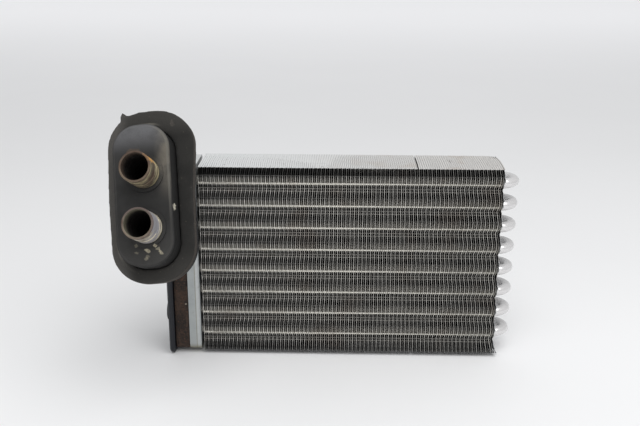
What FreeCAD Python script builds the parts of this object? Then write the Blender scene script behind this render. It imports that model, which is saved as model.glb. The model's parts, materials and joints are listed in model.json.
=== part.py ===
"""Heater core: a finned block of hairpin tubes, a moulded end tank and a slanted pipe flange.

The core block starts at its front, left, lower corner: X runs along the block towards the tube
bends, Y runs back through its depth and Z runs up. The flange frame stands in front of the tank:
its X runs to the right, its Y up the oval and its Z out of the pipe mouths.
"""

import FreeCAD
import Part
import Sketcher

import math
import os
import re

# Driving dimensions, in millimetres and degrees
SIZES = {
    # Where the block's front, left, lower corner lies from the part's own datum
    "block_left": -96.36,
    "block_front": 32.05,
    "block_base": 3.5,
    # The block of fins
    "core_height": 157.0,
    "core_depth": 42.0,
    "fin_count": 73,
    "fin_pitch": 3.3,
    "fin_thickness": 0.3,
    "fin_lip_gap": 0.2,
    "end_fin_lip": 1.65,
    "fin_hole_clearance": 0.1,
    # The hairpin tubes
    "row_count": 8,
    "row_pitch": 18.3,
    "top_row_drop": 14.0,
    "column_spacing": 21.0,
    "tube_diameter": 8.0,
    "tube_wall": 0.5,
    "tube_end_reach": 1.5,
    "bend_standoff": 0.4,
    "bend_bulge": 0.4,
    # The header plate, with its rim crimped over the tank's foot
    "header_gap": 2.4,
    "header_thickness": 1.5,
    "rim_depth": 9.6,
    "rim_wall": 1.2,
    "rim_corner": 4.0,
    "crimp_thickness": 1.0,
    "crimp_reach": 1.5,
    "header_gasket_thickness": 1.5,
    # The end tank
    "foot_clearance": 0.1,
    "tank_reach": 28.5,
    "tank_wall": 2.5,
    "tank_corner": 3.0,
    "end_wall": 3.0,
    "divider_thickness": 2.0,
    "end_flange_thickness": 4.5,
    "end_flange_overhang": 3.5,
    "end_flange_corner": 6.0,
    "end_flange_edge": 1.2,
    "boss_back": 10.5,
    "boss_height": 31.0,
    "boss_radius": 8.0,
    "boss_reach": 2.0,
    # The brown foam band round the tank
    "band_inset": 0.4,
    "band_clearance": 0.1,
    "band_opening_low": 84.0,
    "band_opening_depth": 10.5,
    # The pipe flange: its centre from the block's corner, and how it leans
    "flange_left": 26.1,
    "flange_front": 55.0,
    "flange_height": 150.0,
    "flange_rise": 26.8,
    "flange_swing": 4.6,
    "flange_roll": 7.6,
    "flange_plate_thickness": 3.5,
    "flange_plate_inset": 1.0,
    # The oval foam gasket on the flange
    "gasket_width": 62.0,
    "gasket_height": 126.0,
    "gasket_corner": 27.0,
    "gasket_thickness": 10.3,
    "gasket_clearance": 0.3,
    "nub_inset": 13.5,
    "nub_drop": 9.0,
    "nub_reach": 2.0,
    "nub_width": 7.0,
    "nub_lean": 1.75,
    # The hollow rubber grommet, with a sleeve round each pipe
    "grommet_width": 41.0,
    "grommet_height": 101.5,
    "grommet_corner": 18.0,
    "grommet_proud": 18.0,
    "grommet_edge": 2.0,
    "grommet_wall": 2.5,
    "grommet_front_wall": 3.0,
    "sleeve_wall": 2.2,
    "grommet_side": -0.6,
    "grommet_lift": -1.9,
    "collar_width": 2.6,
    "collar_height": 1.8,
    # The two pipe stubs
    "pipe_side": 1.6,
    "pipe_lift": -6.8,
    "pipe_spacing": 38.9,
    "pipe_diameter": 22.0,
    "pipe_wall": 1.6,
    "pipe_proud": 24.5,
    "pipe_socket": 14.0,
    "pipe_clearance": 0.1,
    "pipe_edge": 0.5,
    "pipe_land": 12.0,
    "pipe_groove_count": 2,
    "pipe_groove_pitch": 4.0,
    "pipe_groove_width": 1.4,
    "pipe_groove_depth": 0.5,
    "pipe_groove_flank": 0.35,
    # The sealing rings in the flange plate
    "ring_cord": 2.6,
    "ring_clearance": 0.05,
    # The two ducts from the pipe sockets to the tank's chambers
    "socket_wall": 2.2,
    "duct_wall": 1.8,
    "upper_duct_left": 20.2,
    "upper_duct_height": 137.0,
    "upper_duct_half_width": 5.4,
    "upper_duct_half_height": 10.0,
    "lower_duct_left": 20.2,
    "lower_duct_height": 104.0,
    "lower_duct_half_width": 5.4,
    "lower_duct_half_height": 10.0,
    "web_thickness": 4.0,
}

# Sizes that follow from the driving ones
TUBE_RADIUS = "(tube_diameter / 2)"
HOLE_RADIUS = f"({TUBE_RADIUS} + fin_hole_clearance)"
FRONT_COLUMN = "((core_depth - column_spacing) / 2)"
BACK_COLUMN = "((core_depth + column_spacing) / 2)"
BLOCK_LENGTH = "((fin_count - 1) * fin_pitch + fin_thickness)"
HEADER_FACE = "(-header_gap - header_thickness)"
TUBE_START = f"({HEADER_FACE} - tube_end_reach)"
BEND_START = f"({BLOCK_LENGTH} + bend_standoff)"
RIM_EDGE = "(-header_gap - rim_depth)"
FOOT_FACE = f"({HEADER_FACE} - header_gasket_thickness)"
FOOT_INSET = "(rim_wall + foot_clearance)"
CRIMP_INSET = "(rim_wall + crimp_reach)"
TANK_INSET = f"({CRIMP_INSET} + foot_clearance)"
CHAMBER_INSET = f"({TANK_INSET} + tank_wall)"
WALL_START = "(-tank_reach + end_flange_thickness / 2)"
DIVIDER_FRONT = "((core_depth - divider_thickness) / 2)"
DIVIDER_BACK = "((core_depth + divider_thickness) / 2)"
PIPE_RADIUS = "(pipe_diameter / 2)"
BORE_RADIUS = "(pipe_diameter / 2 - pipe_wall)"
SOCKET_RADIUS = "(pipe_diameter / 2 + pipe_clearance)"
GLAND_RADIUS = "(pipe_diameter / 2 + ring_cord + ring_clearance)"
GLAND_DEPTH = "(ring_cord + ring_clearance)"
PLATE_BACK = "(-gasket_thickness - flange_plate_thickness)"
SOCKET_BACK = f"({PLATE_BACK} - pipe_socket)"
UPPER_LIFT = "(pipe_lift + pipe_spacing / 2)"
LOWER_LIFT = "(pipe_lift - pipe_spacing / 2)"
GROMMET_HEIGHT = "(gasket_thickness + grommet_proud)"
GROMMET_HOLLOW = f"({GROMMET_HEIGHT} - grommet_front_wall)"

# Turns in degrees: a quarter also sets an oval's long axis upright
QUARTER_TURN = 90
HALF_TURN = 180
FULL_TURN = 360
# Where a bend's half ellipse starts and ends
ARC_START = QUARTER_TURN
ARC_END = QUARTER_TURN + HALF_TURN
# The turn that lays a local Z axis along the block
ALONG_BLOCK = FreeCAD.Rotation(FreeCAD.Vector(0, 1, 0), QUARTER_TURN)
# The turn that points a local X axis away from the bends, so that a bend's arc runs front to back
HALF_ROUND = FreeCAD.Rotation(FreeCAD.Vector(0, 0, 1), HALF_TURN)
# How closely a face must lie in its plane to be picked
FACE_TOLERANCE = 0.01

document = FreeCAD.newDocument("heater_core")
sheet = document.addObject("Spreadsheet::Sheet", "Sizes")


def fill_sheet():
    """Write each driving dimension into a cell of its own, under its own alias."""
    for row, (alias, value) in enumerate(SIZES.items(), start=1):
        sheet.set(f"A{row}", alias)
        sheet.set(f"B{row}", str(value))
        sheet.setAlias(f"B{row}", alias)
    document.recompute()


def full(expression):
    """Give an expression with each size named in full, as the sheet's cell."""
    return re.sub(r"[a-z_]+", lambda word: f"Sizes.{word[0]}" if word[0] in SIZES else word[0], expression)


def size(expression):
    """Work out an expression of the sheet's sizes."""
    return float(sheet.evalExpression(full(expression)))


def facing(rise, swing, roll):
    """Turn the local Z axis to the front, raised and swung to the left, then roll about it."""
    upright = FreeCAD.Rotation(FreeCAD.Vector(1, 0, 0), QUARTER_TURN - rise)
    swung = FreeCAD.Rotation(FreeCAD.Vector(0, 0, 1), -swing)
    rolled = FreeCAD.Rotation(FreeCAD.Vector(0, 0, 1), roll)
    return swung * upright * rolled


def block_place(x="0", y="0", z="0"):
    """Give the placement of a point of the block's frame in the part's frame."""
    corner = FreeCAD.Vector(size("block_left"), size("block_front"), size("block_base"))
    return FreeCAD.Placement(corner + FreeCAD.Vector(size(x), size(y), size(z)), FreeCAD.Rotation())


def flange_place(x="0", y="0", z="0", turn=0):
    """Give the placement of a point of the flange's frame in the part's frame."""
    centre = block_place("-flange_left", "-flange_front", "flange_height")
    leaning = facing(size("flange_rise"), size("flange_swing"), size("flange_roll"))
    centre.Rotation = leaning
    local = FreeCAD.Placement(
        FreeCAD.Vector(size(x), size(y), size(z)),
        FreeCAD.Rotation(FreeCAD.Vector(0, 0, 1), turn),
    )
    return centre * local


def new_body(label, placement):
    """Start a body of its own at a placement."""
    body = document.addObject("PartDesign::Body", label)
    body.Label = label
    body.Placement = placement
    return body


def sketch_on(body, name, role, offset="0"):
    """Attach a sketch to one of the body's own origin planes, moved along its normal."""
    plane = next(item for item in body.Origin.OriginFeatures if item.Role == role)
    sketch = body.newObject("Sketcher::SketchObject", name)
    sketch.AttachmentSupport = [(plane, "")]
    sketch.MapMode = "FlatFace"
    sketch.setExpression("AttachmentOffset.Base.z", full(offset))
    return sketch


def hold(sketch, constraint, expression):
    """Add a constraint whose value follows the sheet."""
    index = sketch.addConstraint(constraint)
    name = f"size_{index}"
    sketch.renameConstraint(index, name)
    sketch.setExpression(f"Constraints.{name}", full(expression))


def place_point(sketch, geometry, vertex, x, y):
    """Hold one vertex of the sketch at a place given by two expressions."""
    hold(sketch, Sketcher.Constraint("DistanceX", geometry, vertex, size(x)), x)
    hold(sketch, Sketcher.Constraint("DistanceY", geometry, vertex, size(y)), y)


def outline(sketch, corners):
    """Draw a closed outline of straight lines through corners given as expressions."""
    points = [FreeCAD.Vector(size(x), size(y), 0) for x, y in corners]
    first = sketch.GeometryCount
    count = len(points)
    for index in range(count):
        sketch.addGeometry(Part.LineSegment(points[index], points[(index + 1) % count]))
    for index in range(count):
        following = first + (index + 1) % count
        sketch.addConstraint(Sketcher.Constraint("Coincident", first + index, 2, following, 1))
        place_point(sketch, first + index, 1, *corners[index])


def rectangle(sketch, left, low, right, high):
    """Draw an upright rectangle between two corners."""
    outline(sketch, [(left, low), (right, low), (right, high), (left, high)])


def circle(sketch, x, y, radius):
    """Draw a circle whose centre and radius follow the sheet."""
    centre = FreeCAD.Vector(size(x), size(y), 0)
    index = sketch.addGeometry(Part.Circle(centre, FreeCAD.Vector(0, 0, 1), size(radius)))
    place_point(sketch, index, 3, x, y)
    hold(sketch, Sketcher.Constraint("Radius", index, size(radius)), radius)


def rounded(sketch, left, low, right, high, corner):
    """Draw a rectangle with round corners, as four lines joined by four tangent arcs."""
    x0, y0, x1, y1, r = (size(text) for text in (left, low, right, high, corner))
    sides = [
        ((x0 + r, y0), (x1 - r, y0)),
        ((x1, y0 + r), (x1, y1 - r)),
        ((x1 - r, y1), (x0 + r, y1)),
        ((x0, y1 - r), (x0, y0 + r)),
    ]
    centres = [(x1 - r, y0 + r), (x1 - r, y1 - r), (x0 + r, y1 - r), (x0 + r, y0 + r)]
    first = sketch.GeometryCount
    for side, ((ax, ay), (bx, by)) in enumerate(sides):
        sketch.addGeometry(Part.LineSegment(FreeCAD.Vector(ax, ay, 0), FreeCAD.Vector(bx, by, 0)))
        cx, cy = centres[side]
        whole = Part.Circle(FreeCAD.Vector(cx, cy, 0), FreeCAD.Vector(0, 0, 1), r)
        start = (side - 1) * math.pi / 2
        sketch.addGeometry(Part.ArcOfCircle(whole, start, start + math.pi / 2))
    for side in range(4):
        line = first + 2 * side
        arc = line + 1
        following = first + (2 * side + 2) % 8
        sketch.addConstraint(Sketcher.Constraint("Tangent", line, 2, arc, 1))
        sketch.addConstraint(Sketcher.Constraint("Tangent", arc, 2, following, 1))
        direction = "Horizontal" if side % 2 == 0 else "Vertical"
        sketch.addConstraint(Sketcher.Constraint(direction, line))
        if side:
            sketch.addConstraint(Sketcher.Constraint("Equal", first + 1, arc))
    hold(sketch, Sketcher.Constraint("Radius", first + 1, r), corner)
    hold(sketch, Sketcher.Constraint("DistanceY", first, 1, y0), low)
    hold(sketch, Sketcher.Constraint("DistanceX", first + 2, 1, x1), right)
    hold(sketch, Sketcher.Constraint("DistanceY", first + 4, 1, y1), high)
    hold(sketch, Sketcher.Constraint("DistanceX", first + 6, 1, x0), left)


def tube_rows():
    """Give the height of each row of tubes, from the top down, as an expression."""
    rows = int(size("row_count"))
    return [f"(core_height - top_row_drop - {row} * row_pitch)" for row in range(rows)]


def tube_holes(sketch, radius):
    """Draw one circle round each leg of every hairpin tube."""
    for height in tube_rows():
        circle(sketch, FRONT_COLUMN, height, radius)
        circle(sketch, BACK_COLUMN, height, radius)


def pad(body, sketch, length, reverse=False):
    """Thicken a sketch along its plane's normal, or against it."""
    feature = body.newObject("PartDesign::Pad", f"{sketch.Name}_pad")
    feature.Profile = sketch
    feature.setExpression("Length", full(length))
    feature.Reversed = reverse
    return feature


def pocket(body, sketch, depth, forward=True):
    """Cut a sketch out of the body along its plane's normal, or against it."""
    feature = body.newObject("PartDesign::Pocket", f"{sketch.Name}_pocket")
    feature.Profile = sketch
    feature.setExpression("Length", full(depth))
    feature.Reversed = forward
    return feature


def ease(body, feature, face_test, width):
    """Chamfer the edges of each face that passes a test."""
    document.recompute()
    faces = [f"Face{number}" for number, face in enumerate(feature.Shape.Faces, start=1) if face_test(face)]
    chamfer = body.newObject("PartDesign::Chamfer", f"{feature.Name}_chamfer")
    chamfer.Base = (feature, faces)
    chamfer.setExpression("Size", full(width))
    return chamfer


def folded_fin(label, station, lip):
    """Fold one fin from sheet, with its top and bottom edges turned over towards the bends."""
    body = new_body(label, block_place(station))
    fold = sketch_on(body, f"{label}_fold", "XZ_Plane")
    inner_top = "core_height - fin_thickness"
    outline(fold, [
        ("0", "0"), (lip, "0"), (lip, "fin_thickness"), ("fin_thickness", "fin_thickness"),
        ("fin_thickness", inner_top), (lip, inner_top), (lip, "core_height"), ("0", "core_height"),
    ])
    pad(body, fold, "core_depth", reverse=True)
    return body


def inner_fin():
    """Make one inner fin, with a tall slot round each column of tubes."""
    body = folded_fin("inner_fin", "0", "fin_pitch - fin_lip_gap")
    slots = sketch_on(body, "inner_fin_slots", "YZ_Plane")
    rows = tube_rows()
    low = f"{rows[-1]} - {HOLE_RADIUS}"
    high = f"{rows[0]} + {HOLE_RADIUS}"
    for column in (FRONT_COLUMN, BACK_COLUMN):
        rectangle(slots, f"{column} - {HOLE_RADIUS}", low, f"{column} + {HOLE_RADIUS}", high)
    pocket(body, slots, "fin_thickness")
    return body


def outer_end_fin():
    """Make the last fin, with a round hole for each leg of every tube."""
    body = folded_fin("outer_end_fin", "(fin_count - 1) * fin_pitch", "end_fin_lip")
    holes = sketch_on(body, "outer_end_fin_holes", "YZ_Plane")
    tube_holes(holes, HOLE_RADIUS)
    pocket(body, holes, "fin_thickness")
    return body


def fin_stack():
    """Stack copies of one fin along the tubes, each with its folded edges close to the next."""
    one = inner_fin()
    document.recompute()
    stack = document.addObject("Part::Feature", "fins")
    pitch = FreeCAD.Vector(size("fin_pitch"), 0, 0)
    count = int(size("fin_count")) - 1
    stack.Shape = Part.makeCompound([one.Shape.translated(pitch * number) for number in range(count)])
    return stack


def leg(name, column, height):
    """Make one straight leg of a hairpin, bored from its tank end up to the outer fin."""
    place = block_place(TUBE_START, column, height)
    place.Rotation = ALONG_BLOCK
    bore_radius = f"{TUBE_RADIUS} - tube_wall"
    tube = document.addObject("Part::Cut", name)
    tube.Base = cylinder(f"{name}_wall", TUBE_RADIUS, f"{BEND_START} - {TUBE_START}", place)
    tube.Tool = cylinder(f"{name}_bore", bore_radius, f"{BLOCK_LENGTH} - {TUBE_START}", place)
    return tube


def hairpin_tube(number, height):
    """Bend one tube into a hairpin: out along the front column, round, and back behind it."""
    label = f"hairpin_tube_{number}"
    section = document.addObject("Part::Circle", f"{label}_section")
    section.setExpression("Radius", full(TUBE_RADIUS))
    section.Placement = block_place(BEND_START, FRONT_COLUMN, height)
    section.Placement.Rotation = ALONG_BLOCK
    turn = document.addObject("Part::Ellipse", f"{label}_turn")
    turn.setExpression("MajorRadius", full("column_spacing / 2 + bend_bulge"))
    turn.setExpression("MinorRadius", full("column_spacing / 2"))
    turn.Angle1 = ARC_START
    turn.Angle2 = ARC_END
    turn.Placement = block_place(BEND_START, "core_depth / 2", height)
    turn.Placement.Rotation = HALF_ROUND
    bend = document.addObject("Part::Sweep", f"{label}_bend")
    bend.Sections = [section]
    bend.Spine = (turn, ["Edge1"])
    bend.Solid = True
    tube = document.addObject("Part::MultiFuse", label)
    tube.Shapes = [
        leg(f"{label}_front_leg", FRONT_COLUMN, height),
        bend,
        leg(f"{label}_back_leg", BACK_COLUMN, height),
    ]
    return tube


def rim_outline(sketch, inset, corner):
    """Draw the block's own outline, drawn in all round by an inset."""
    rounded(sketch, inset, inset, f"core_depth - {inset}", f"core_height - {inset}", corner)


def header_plate():
    """Press the header: a plate with the tube holes, and a rim crimped round the tank's foot."""
    body = new_body("header_plate", block_place())
    tray = sketch_on(body, "header_tray", "YZ_Plane", RIM_EDGE)
    rim_outline(tray, "0", "rim_corner")
    pad(body, tray, "rim_depth")
    mouth = sketch_on(body, "header_mouth", "YZ_Plane", RIM_EDGE)
    rim_outline(mouth, CRIMP_INSET, f"rim_corner - {CRIMP_INSET}")
    pocket(body, mouth, "crimp_thickness")
    cavity = sketch_on(body, "header_cavity", "YZ_Plane", f"{RIM_EDGE} + crimp_thickness")
    rim_outline(cavity, "rim_wall", "rim_corner - rim_wall")
    pocket(body, cavity, "rim_depth - crimp_thickness - header_thickness")
    holes = sketch_on(body, "header_holes", "YZ_Plane", HEADER_FACE)
    tube_holes(holes, TUBE_RADIUS)
    pocket(body, holes, "header_thickness")
    return body


def chamber_outlines(sketch):
    """Draw the outline of each of the tank's two chambers."""
    low, high = CHAMBER_INSET, f"core_height - {CHAMBER_INSET}"
    rectangle(sketch, CHAMBER_INSET, low, DIVIDER_FRONT, high)
    rectangle(sketch, DIVIDER_BACK, low, f"core_depth - {CHAMBER_INSET}", high)


def header_gasket():
    """Cut the rubber gasket between the header plate and the tank's foot."""
    body = new_body("header_gasket", block_place())
    sheet_outline = sketch_on(body, "header_gasket_outline", "YZ_Plane", FOOT_FACE)
    rim_outline(sheet_outline, FOOT_INSET, f"rim_corner - {FOOT_INSET}")
    chamber_outlines(sheet_outline)
    pad(body, sheet_outline, "header_gasket_thickness")
    return body


def tank_box():
    """Mould the tank's foot, its walls, its end flange and its two chambers."""
    body = new_body("tank_box", block_place())
    end_outline = sketch_on(body, "end_flange_outline", "YZ_Plane", "-tank_reach")
    rim_outline(end_outline, "-end_flange_overhang", "end_flange_corner")
    flange = pad(body, end_outline, "end_flange_thickness")
    ease(body, flange, lambda face: 1 - abs(face.normalAt(0, 0).x) < FACE_TOLERANCE, "end_flange_edge")
    wall_outline = sketch_on(body, "tank_wall_outline", "YZ_Plane", WALL_START)
    rim_outline(wall_outline, TANK_INSET, "tank_corner")
    pad(body, wall_outline, f"{FOOT_FACE} - {WALL_START}")
    foot_outline = sketch_on(body, "tank_foot_outline", "YZ_Plane", f"{RIM_EDGE} + crimp_thickness")
    rim_outline(foot_outline, FOOT_INSET, f"rim_corner - {FOOT_INSET}")
    pad(body, foot_outline, f"{FOOT_FACE} - {RIM_EDGE} - crimp_thickness")
    chambers = sketch_on(body, "tank_chambers", "YZ_Plane", "-tank_reach + end_wall")
    chamber_outlines(chambers)
    pocket(body, chambers, f"tank_reach - end_wall + {FOOT_FACE}")
    return body


def cylinder(name, radius, height, placement):
    """Make a cylinder along the local Z axis of a placement."""
    shape = document.addObject("Part::Cylinder", name)
    shape.setExpression("Radius", full(radius))
    shape.setExpression("Height", full(height))
    shape.Placement = placement
    return shape


def tank_oval(name, left, front, height, half_width, half_height):
    """Draw an upright oval that faces the tank's front wall."""
    ring = document.addObject("Part::Ellipse", f"{name}_oval")
    ring.setExpression("MajorRadius", full(half_height))
    ring.setExpression("MinorRadius", full(half_width))
    ring.Placement = block_place(f"-{left}", front, height)
    ring.Placement.Rotation = facing(0, 0, QUARTER_TURN)
    return ring


def duct(name, lift, mouth_radius, left, front, height, half_width, half_height):
    """Loft from a round mouth behind the flange to an oval one in the tank's front wall."""
    mouth = document.addObject("Part::Circle", f"{name}_mouth")
    mouth.setExpression("Radius", full(mouth_radius))
    mouth.Placement = flange_place("pipe_side", lift, SOCKET_BACK, turn=QUARTER_TURN)
    loft = document.addObject("Part::Loft", name)
    loft.Sections = [mouth, tank_oval(name, left, front, height, half_width, half_height)]
    loft.Solid = True
    loft.Ruled = True
    return loft


def crossing(name, left, height, half_width, half_height, front, length):
    """Make the straight oval stretch that crosses the tank's front chamber."""
    stretch = document.addObject("Part::Extrusion", name)
    stretch.Base = tank_oval(name, left, front, height, half_width, half_height)
    stretch.Dir = FreeCAD.Vector(0, 1, 0)
    stretch.setExpression("LengthFwd", full(length))
    stretch.Solid = True
    return stretch


def flange_plate():
    """Mould the oval plate that carries the foam gasket."""
    body = new_body("flange_plate", flange_place(z=PLATE_BACK))
    sketch = sketch_on(body, "flange_plate_outline", "XY_Plane")
    half_width = "(gasket_width / 2 - flange_plate_inset)"
    half_height = "(gasket_height / 2 - flange_plate_inset)"
    corner = "gasket_corner - flange_plate_inset"
    rounded(sketch, f"-{half_width}", f"-{half_height}", half_width, half_height, corner)
    pad(body, sketch, "flange_plate_thickness")
    return body


def end_tank():
    """Join the tank, its ducts and the flange plate into one moulding, and bore it through."""
    middle_wall = f"({CHAMBER_INSET} - tank_wall / 2)"
    inside = f"({CHAMBER_INSET} + tank_wall / 2)"
    solids = [tank_box(), flange_plate()]
    bores = []
    for name, lift in (("upper", UPPER_LIFT), ("lower", LOWER_LIFT)):
        left, height = f"{name}_duct_left", f"{name}_duct_height"
        half_width, half_height = f"{name}_duct_half_width", f"{name}_duct_half_height"
        socket_end = flange_place("pipe_side", lift, SOCKET_BACK)
        outer_radius = f"{SOCKET_RADIUS} + socket_wall"
        solids.append(cylinder(
            f"{name}_socket_wall", outer_radius, "pipe_socket + flange_plate_thickness / 2", socket_end,
        ))
        solids.append(duct(
            f"{name}_duct_wall", lift, outer_radius, left, middle_wall, height,
            f"{half_width} + duct_wall", f"{half_height} + duct_wall",
        ))
        bores.append(cylinder(
            f"{name}_socket_bore", SOCKET_RADIUS, "pipe_socket + flange_plate_thickness", socket_end,
        ))
        bores.append(cylinder(
            f"{name}_gland", GLAND_RADIUS, GLAND_DEPTH,
            flange_place("pipe_side", lift, f"-gasket_thickness - {GLAND_DEPTH}"),
        ))
        bores.append(duct(
            f"{name}_duct_bore", lift, BORE_RADIUS, left, inside, height, half_width, half_height,
        ))
    solids.append(crossing(
        "crossing_wall", "upper_duct_left", "upper_duct_height", "upper_duct_half_width + duct_wall",
        "upper_duct_half_height + duct_wall", middle_wall, f"core_depth / 2 - {middle_wall}",
    ))
    bores.append(crossing(
        "crossing_bore", "upper_duct_left", "upper_duct_height", "upper_duct_half_width",
        "upper_duct_half_height", middle_wall, f"{DIVIDER_BACK} + tank_wall - {middle_wall}",
    ))
    boss_end = block_place("-tank_reach - boss_reach", "boss_back", "boss_height")
    boss_end.Rotation = ALONG_BLOCK
    boss = cylinder("tank_boss", "boss_radius", "boss_reach + end_wall", boss_end)
    solids.append(boss)
    web = document.addObject("Part::Box", "duct_web")
    web.setExpression("Length", full("web_thickness"))
    web.setExpression("Width", full("pipe_spacing"))
    web.setExpression("Height", full("pipe_socket"))
    web.Placement = flange_place("pipe_side - web_thickness / 2", LOWER_LIFT, SOCKET_BACK)
    solids.append(web)
    moulding = document.addObject("Part::MultiFuse", "tank_moulding")
    moulding.Shapes = solids
    cores = document.addObject("Part::MultiFuse", "tank_cores")
    cores.Shapes = bores
    tank = document.addObject("Part::Cut", "end_tank")
    tank.Base = moulding
    tank.Tool = cores
    return tank


def tank_foam_band():
    """Wrap the foam round the tank between its end flange and the header's rim."""
    body = new_body("tank_foam_band", block_place())
    start = "-tank_reach + end_flange_thickness"
    sketch = sketch_on(body, "band_outline", "YZ_Plane", start)
    rim_outline(sketch, "band_inset", "tank_corner")
    rim_outline(sketch, f"({TANK_INSET} - band_clearance)", "tank_corner")
    length = f"{RIM_EDGE} + tank_reach - end_flange_thickness"
    pad(body, sketch, length)
    gap = sketch_on(body, "band_opening", "YZ_Plane", start)
    rectangle(gap, "0", "band_opening_low", "band_opening_depth", "core_height")
    pocket(body, gap, length)
    return body


def oval(sketch, side, lift, width, height, corner):
    """Draw an upright oval about a centre."""
    rounded(
        sketch, f"{side} - {width} / 2", f"{lift} - {height} / 2",
        f"{side} + {width} / 2", f"{lift} + {height} / 2", corner,
    )


def flange_gasket():
    """Cut the oval foam gasket, with the pointed nub at its upper left."""
    body = new_body("flange_gasket", flange_place(z="-gasket_thickness"))
    ring = sketch_on(body, "gasket_ring", "XY_Plane")
    oval(ring, "0", "0", "gasket_width", "gasket_height", "gasket_corner")
    oval(
        ring, "grommet_side", "grommet_lift", "(grommet_width + 2 * gasket_clearance)",
        "(grommet_height + 2 * gasket_clearance)", "grommet_corner",
    )
    pad(body, ring, "gasket_thickness")
    nub = sketch_on(body, "gasket_nub", "XY_Plane")
    side = "(nub_inset - gasket_width / 2)"
    root = "gasket_height / 2 - nub_drop"
    outline(nub, [
        (f"{side} - nub_width / 2", root), (f"{side} + nub_width / 2", root),
        (f"{side} - nub_lean", "gasket_height / 2 + nub_reach"),
    ])
    pad(body, nub, "gasket_thickness")
    return body


def pipe_grommet():
    """Mould the rubber grommet: a boot, hollow from behind, with a collar and a sleeve round each pipe."""
    body = new_body("pipe_grommet", flange_place(z="-gasket_thickness"))
    block = sketch_on(body, "grommet_block", "XY_Plane")
    oval(block, "grommet_side", "grommet_lift", "grommet_width", "grommet_height", "grommet_corner")
    upright = pad(body, block, GROMMET_HEIGHT)
    top = size(GROMMET_HEIGHT)
    ease(body, upright, lambda face: abs(face.CenterOfMass.z - top) < FACE_TOLERANCE, "grommet_edge")
    hollow = sketch_on(body, "grommet_hollow", "XY_Plane")
    oval(
        hollow, "grommet_side", "grommet_lift", "(grommet_width - 2 * grommet_wall)",
        "(grommet_height - 2 * grommet_wall)", "grommet_corner - grommet_wall",
    )
    pocket(body, hollow, GROMMET_HOLLOW)
    collars = sketch_on(body, "grommet_collars", "XY_Plane", GROMMET_HEIGHT)
    sleeves = sketch_on(body, "grommet_sleeves", "XY_Plane")
    holes = sketch_on(body, "grommet_holes", "XY_Plane")
    for lift in (UPPER_LIFT, LOWER_LIFT):
        circle(collars, "pipe_side", lift, f"{PIPE_RADIUS} + collar_width")
        circle(sleeves, "pipe_side", lift, f"{SOCKET_RADIUS} + sleeve_wall")
        circle(holes, "pipe_side", lift, SOCKET_RADIUS)
    pad(body, collars, "collar_height")
    pad(body, sleeves, f"{GROMMET_HOLLOW} + grommet_front_wall / 2")
    pocket(body, holes, f"{GROMMET_HEIGHT} + collar_height")
    return body


def pipe_stub(label, lift):
    """Turn one pipe stub: a plain land for the hose clip, with grooves behind it."""
    body = new_body(label, flange_place("pipe_side", lift))
    sketch = sketch_on(body, f"{label}_profile", "XZ_Plane")
    foot = SOCKET_BACK
    tip = "(grommet_proud + pipe_proud)"
    outer, inner = PIPE_RADIUS, BORE_RADIUS
    corners = [(inner, foot), (outer, foot)]
    for number in reversed(range(int(size("pipe_groove_count")))):
        groove = f"({tip} - pipe_land - {number} * pipe_groove_pitch)"
        waist = f"{outer} - pipe_groove_depth"
        corners += [
            (outer, f"{groove} - pipe_groove_width"),
            (waist, f"{groove} - pipe_groove_width + pipe_groove_flank"),
            (waist, f"{groove} - pipe_groove_flank"),
            (outer, groove),
        ]
    corners += [(outer, f"{tip} - pipe_edge"), (f"{outer} - pipe_edge", tip), (inner, tip)]
    outline(sketch, corners)
    turned = body.newObject("PartDesign::Revolution", f"{label}_turned")
    turned.Profile = sketch
    turned.ReferenceAxis = (sketch, ["V_Axis"])
    turned.Angle = FULL_TURN
    return body


def sealing_ring(label, lift):
    """Cut one square sealing ring, which fills its gland under the grommet."""
    body = new_body(label, flange_place("pipe_side", lift))
    sketch = sketch_on(body, f"{label}_section", "XY_Plane", "-gasket_thickness - ring_cord")
    circle(sketch, "0", "0", f"{PIPE_RADIUS} + ring_cord")
    circle(sketch, "0", "0", PIPE_RADIUS)
    pad(body, sketch, "ring_cord")
    return body


def build():
    """Build every piece, and give those that are handed in."""
    pieces = [fin_stack(), outer_end_fin()]
    pieces += [hairpin_tube(number, height) for number, height in enumerate(tube_rows(), start=1)]
    pieces += [
        header_plate(),
        header_gasket(),
        end_tank(),
        tank_foam_band(),
        flange_gasket(),
        pipe_grommet(),
        pipe_stub("upper_pipe", UPPER_LIFT),
        pipe_stub("lower_pipe", LOWER_LIFT),
        sealing_ring("upper_sealing_ring", UPPER_LIFT),
        sealing_ring("lower_sealing_ring", LOWER_LIFT),
    ]
    return pieces


def check(pieces):
    """Stop if any object failed, or any piece is empty or broken."""
    failed = [item.Label for item in document.Objects if {"Invalid", "Error"} & set(item.State)]
    if failed:
        raise RuntimeError(f"failed: {failed}")
    for piece in pieces:
        if piece.Shape.isNull() or not piece.Shape.isValid():
            raise RuntimeError(f"broken shape: {piece.Label}")


def write(pieces):
    """Write each piece to a file of its own name."""
    os.makedirs("parts", exist_ok=True)
    for piece in pieces:
        piece.Shape.exportStep(f"parts/{piece.Label}.step")


fill_sheet()
finished = build()
document.recompute()
check(finished)
write(finished)
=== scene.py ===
"""Heater core: a finned block of hairpin tubes, a black end tank and a slanted flange with two pipe stubs.

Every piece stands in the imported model's frame, in metres: X along the block towards the tube bends,
Y back through its depth, Z up. The flange's pieces use the flange's own frame, whose X runs across
the oval, Y up it and Z out of the pipe mouths.
"""

import json
import logging
import math
import random
from dataclasses import dataclass
from enum import Enum

import bmesh
import bpy
from mathutils import Matrix, Vector, noise


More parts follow.
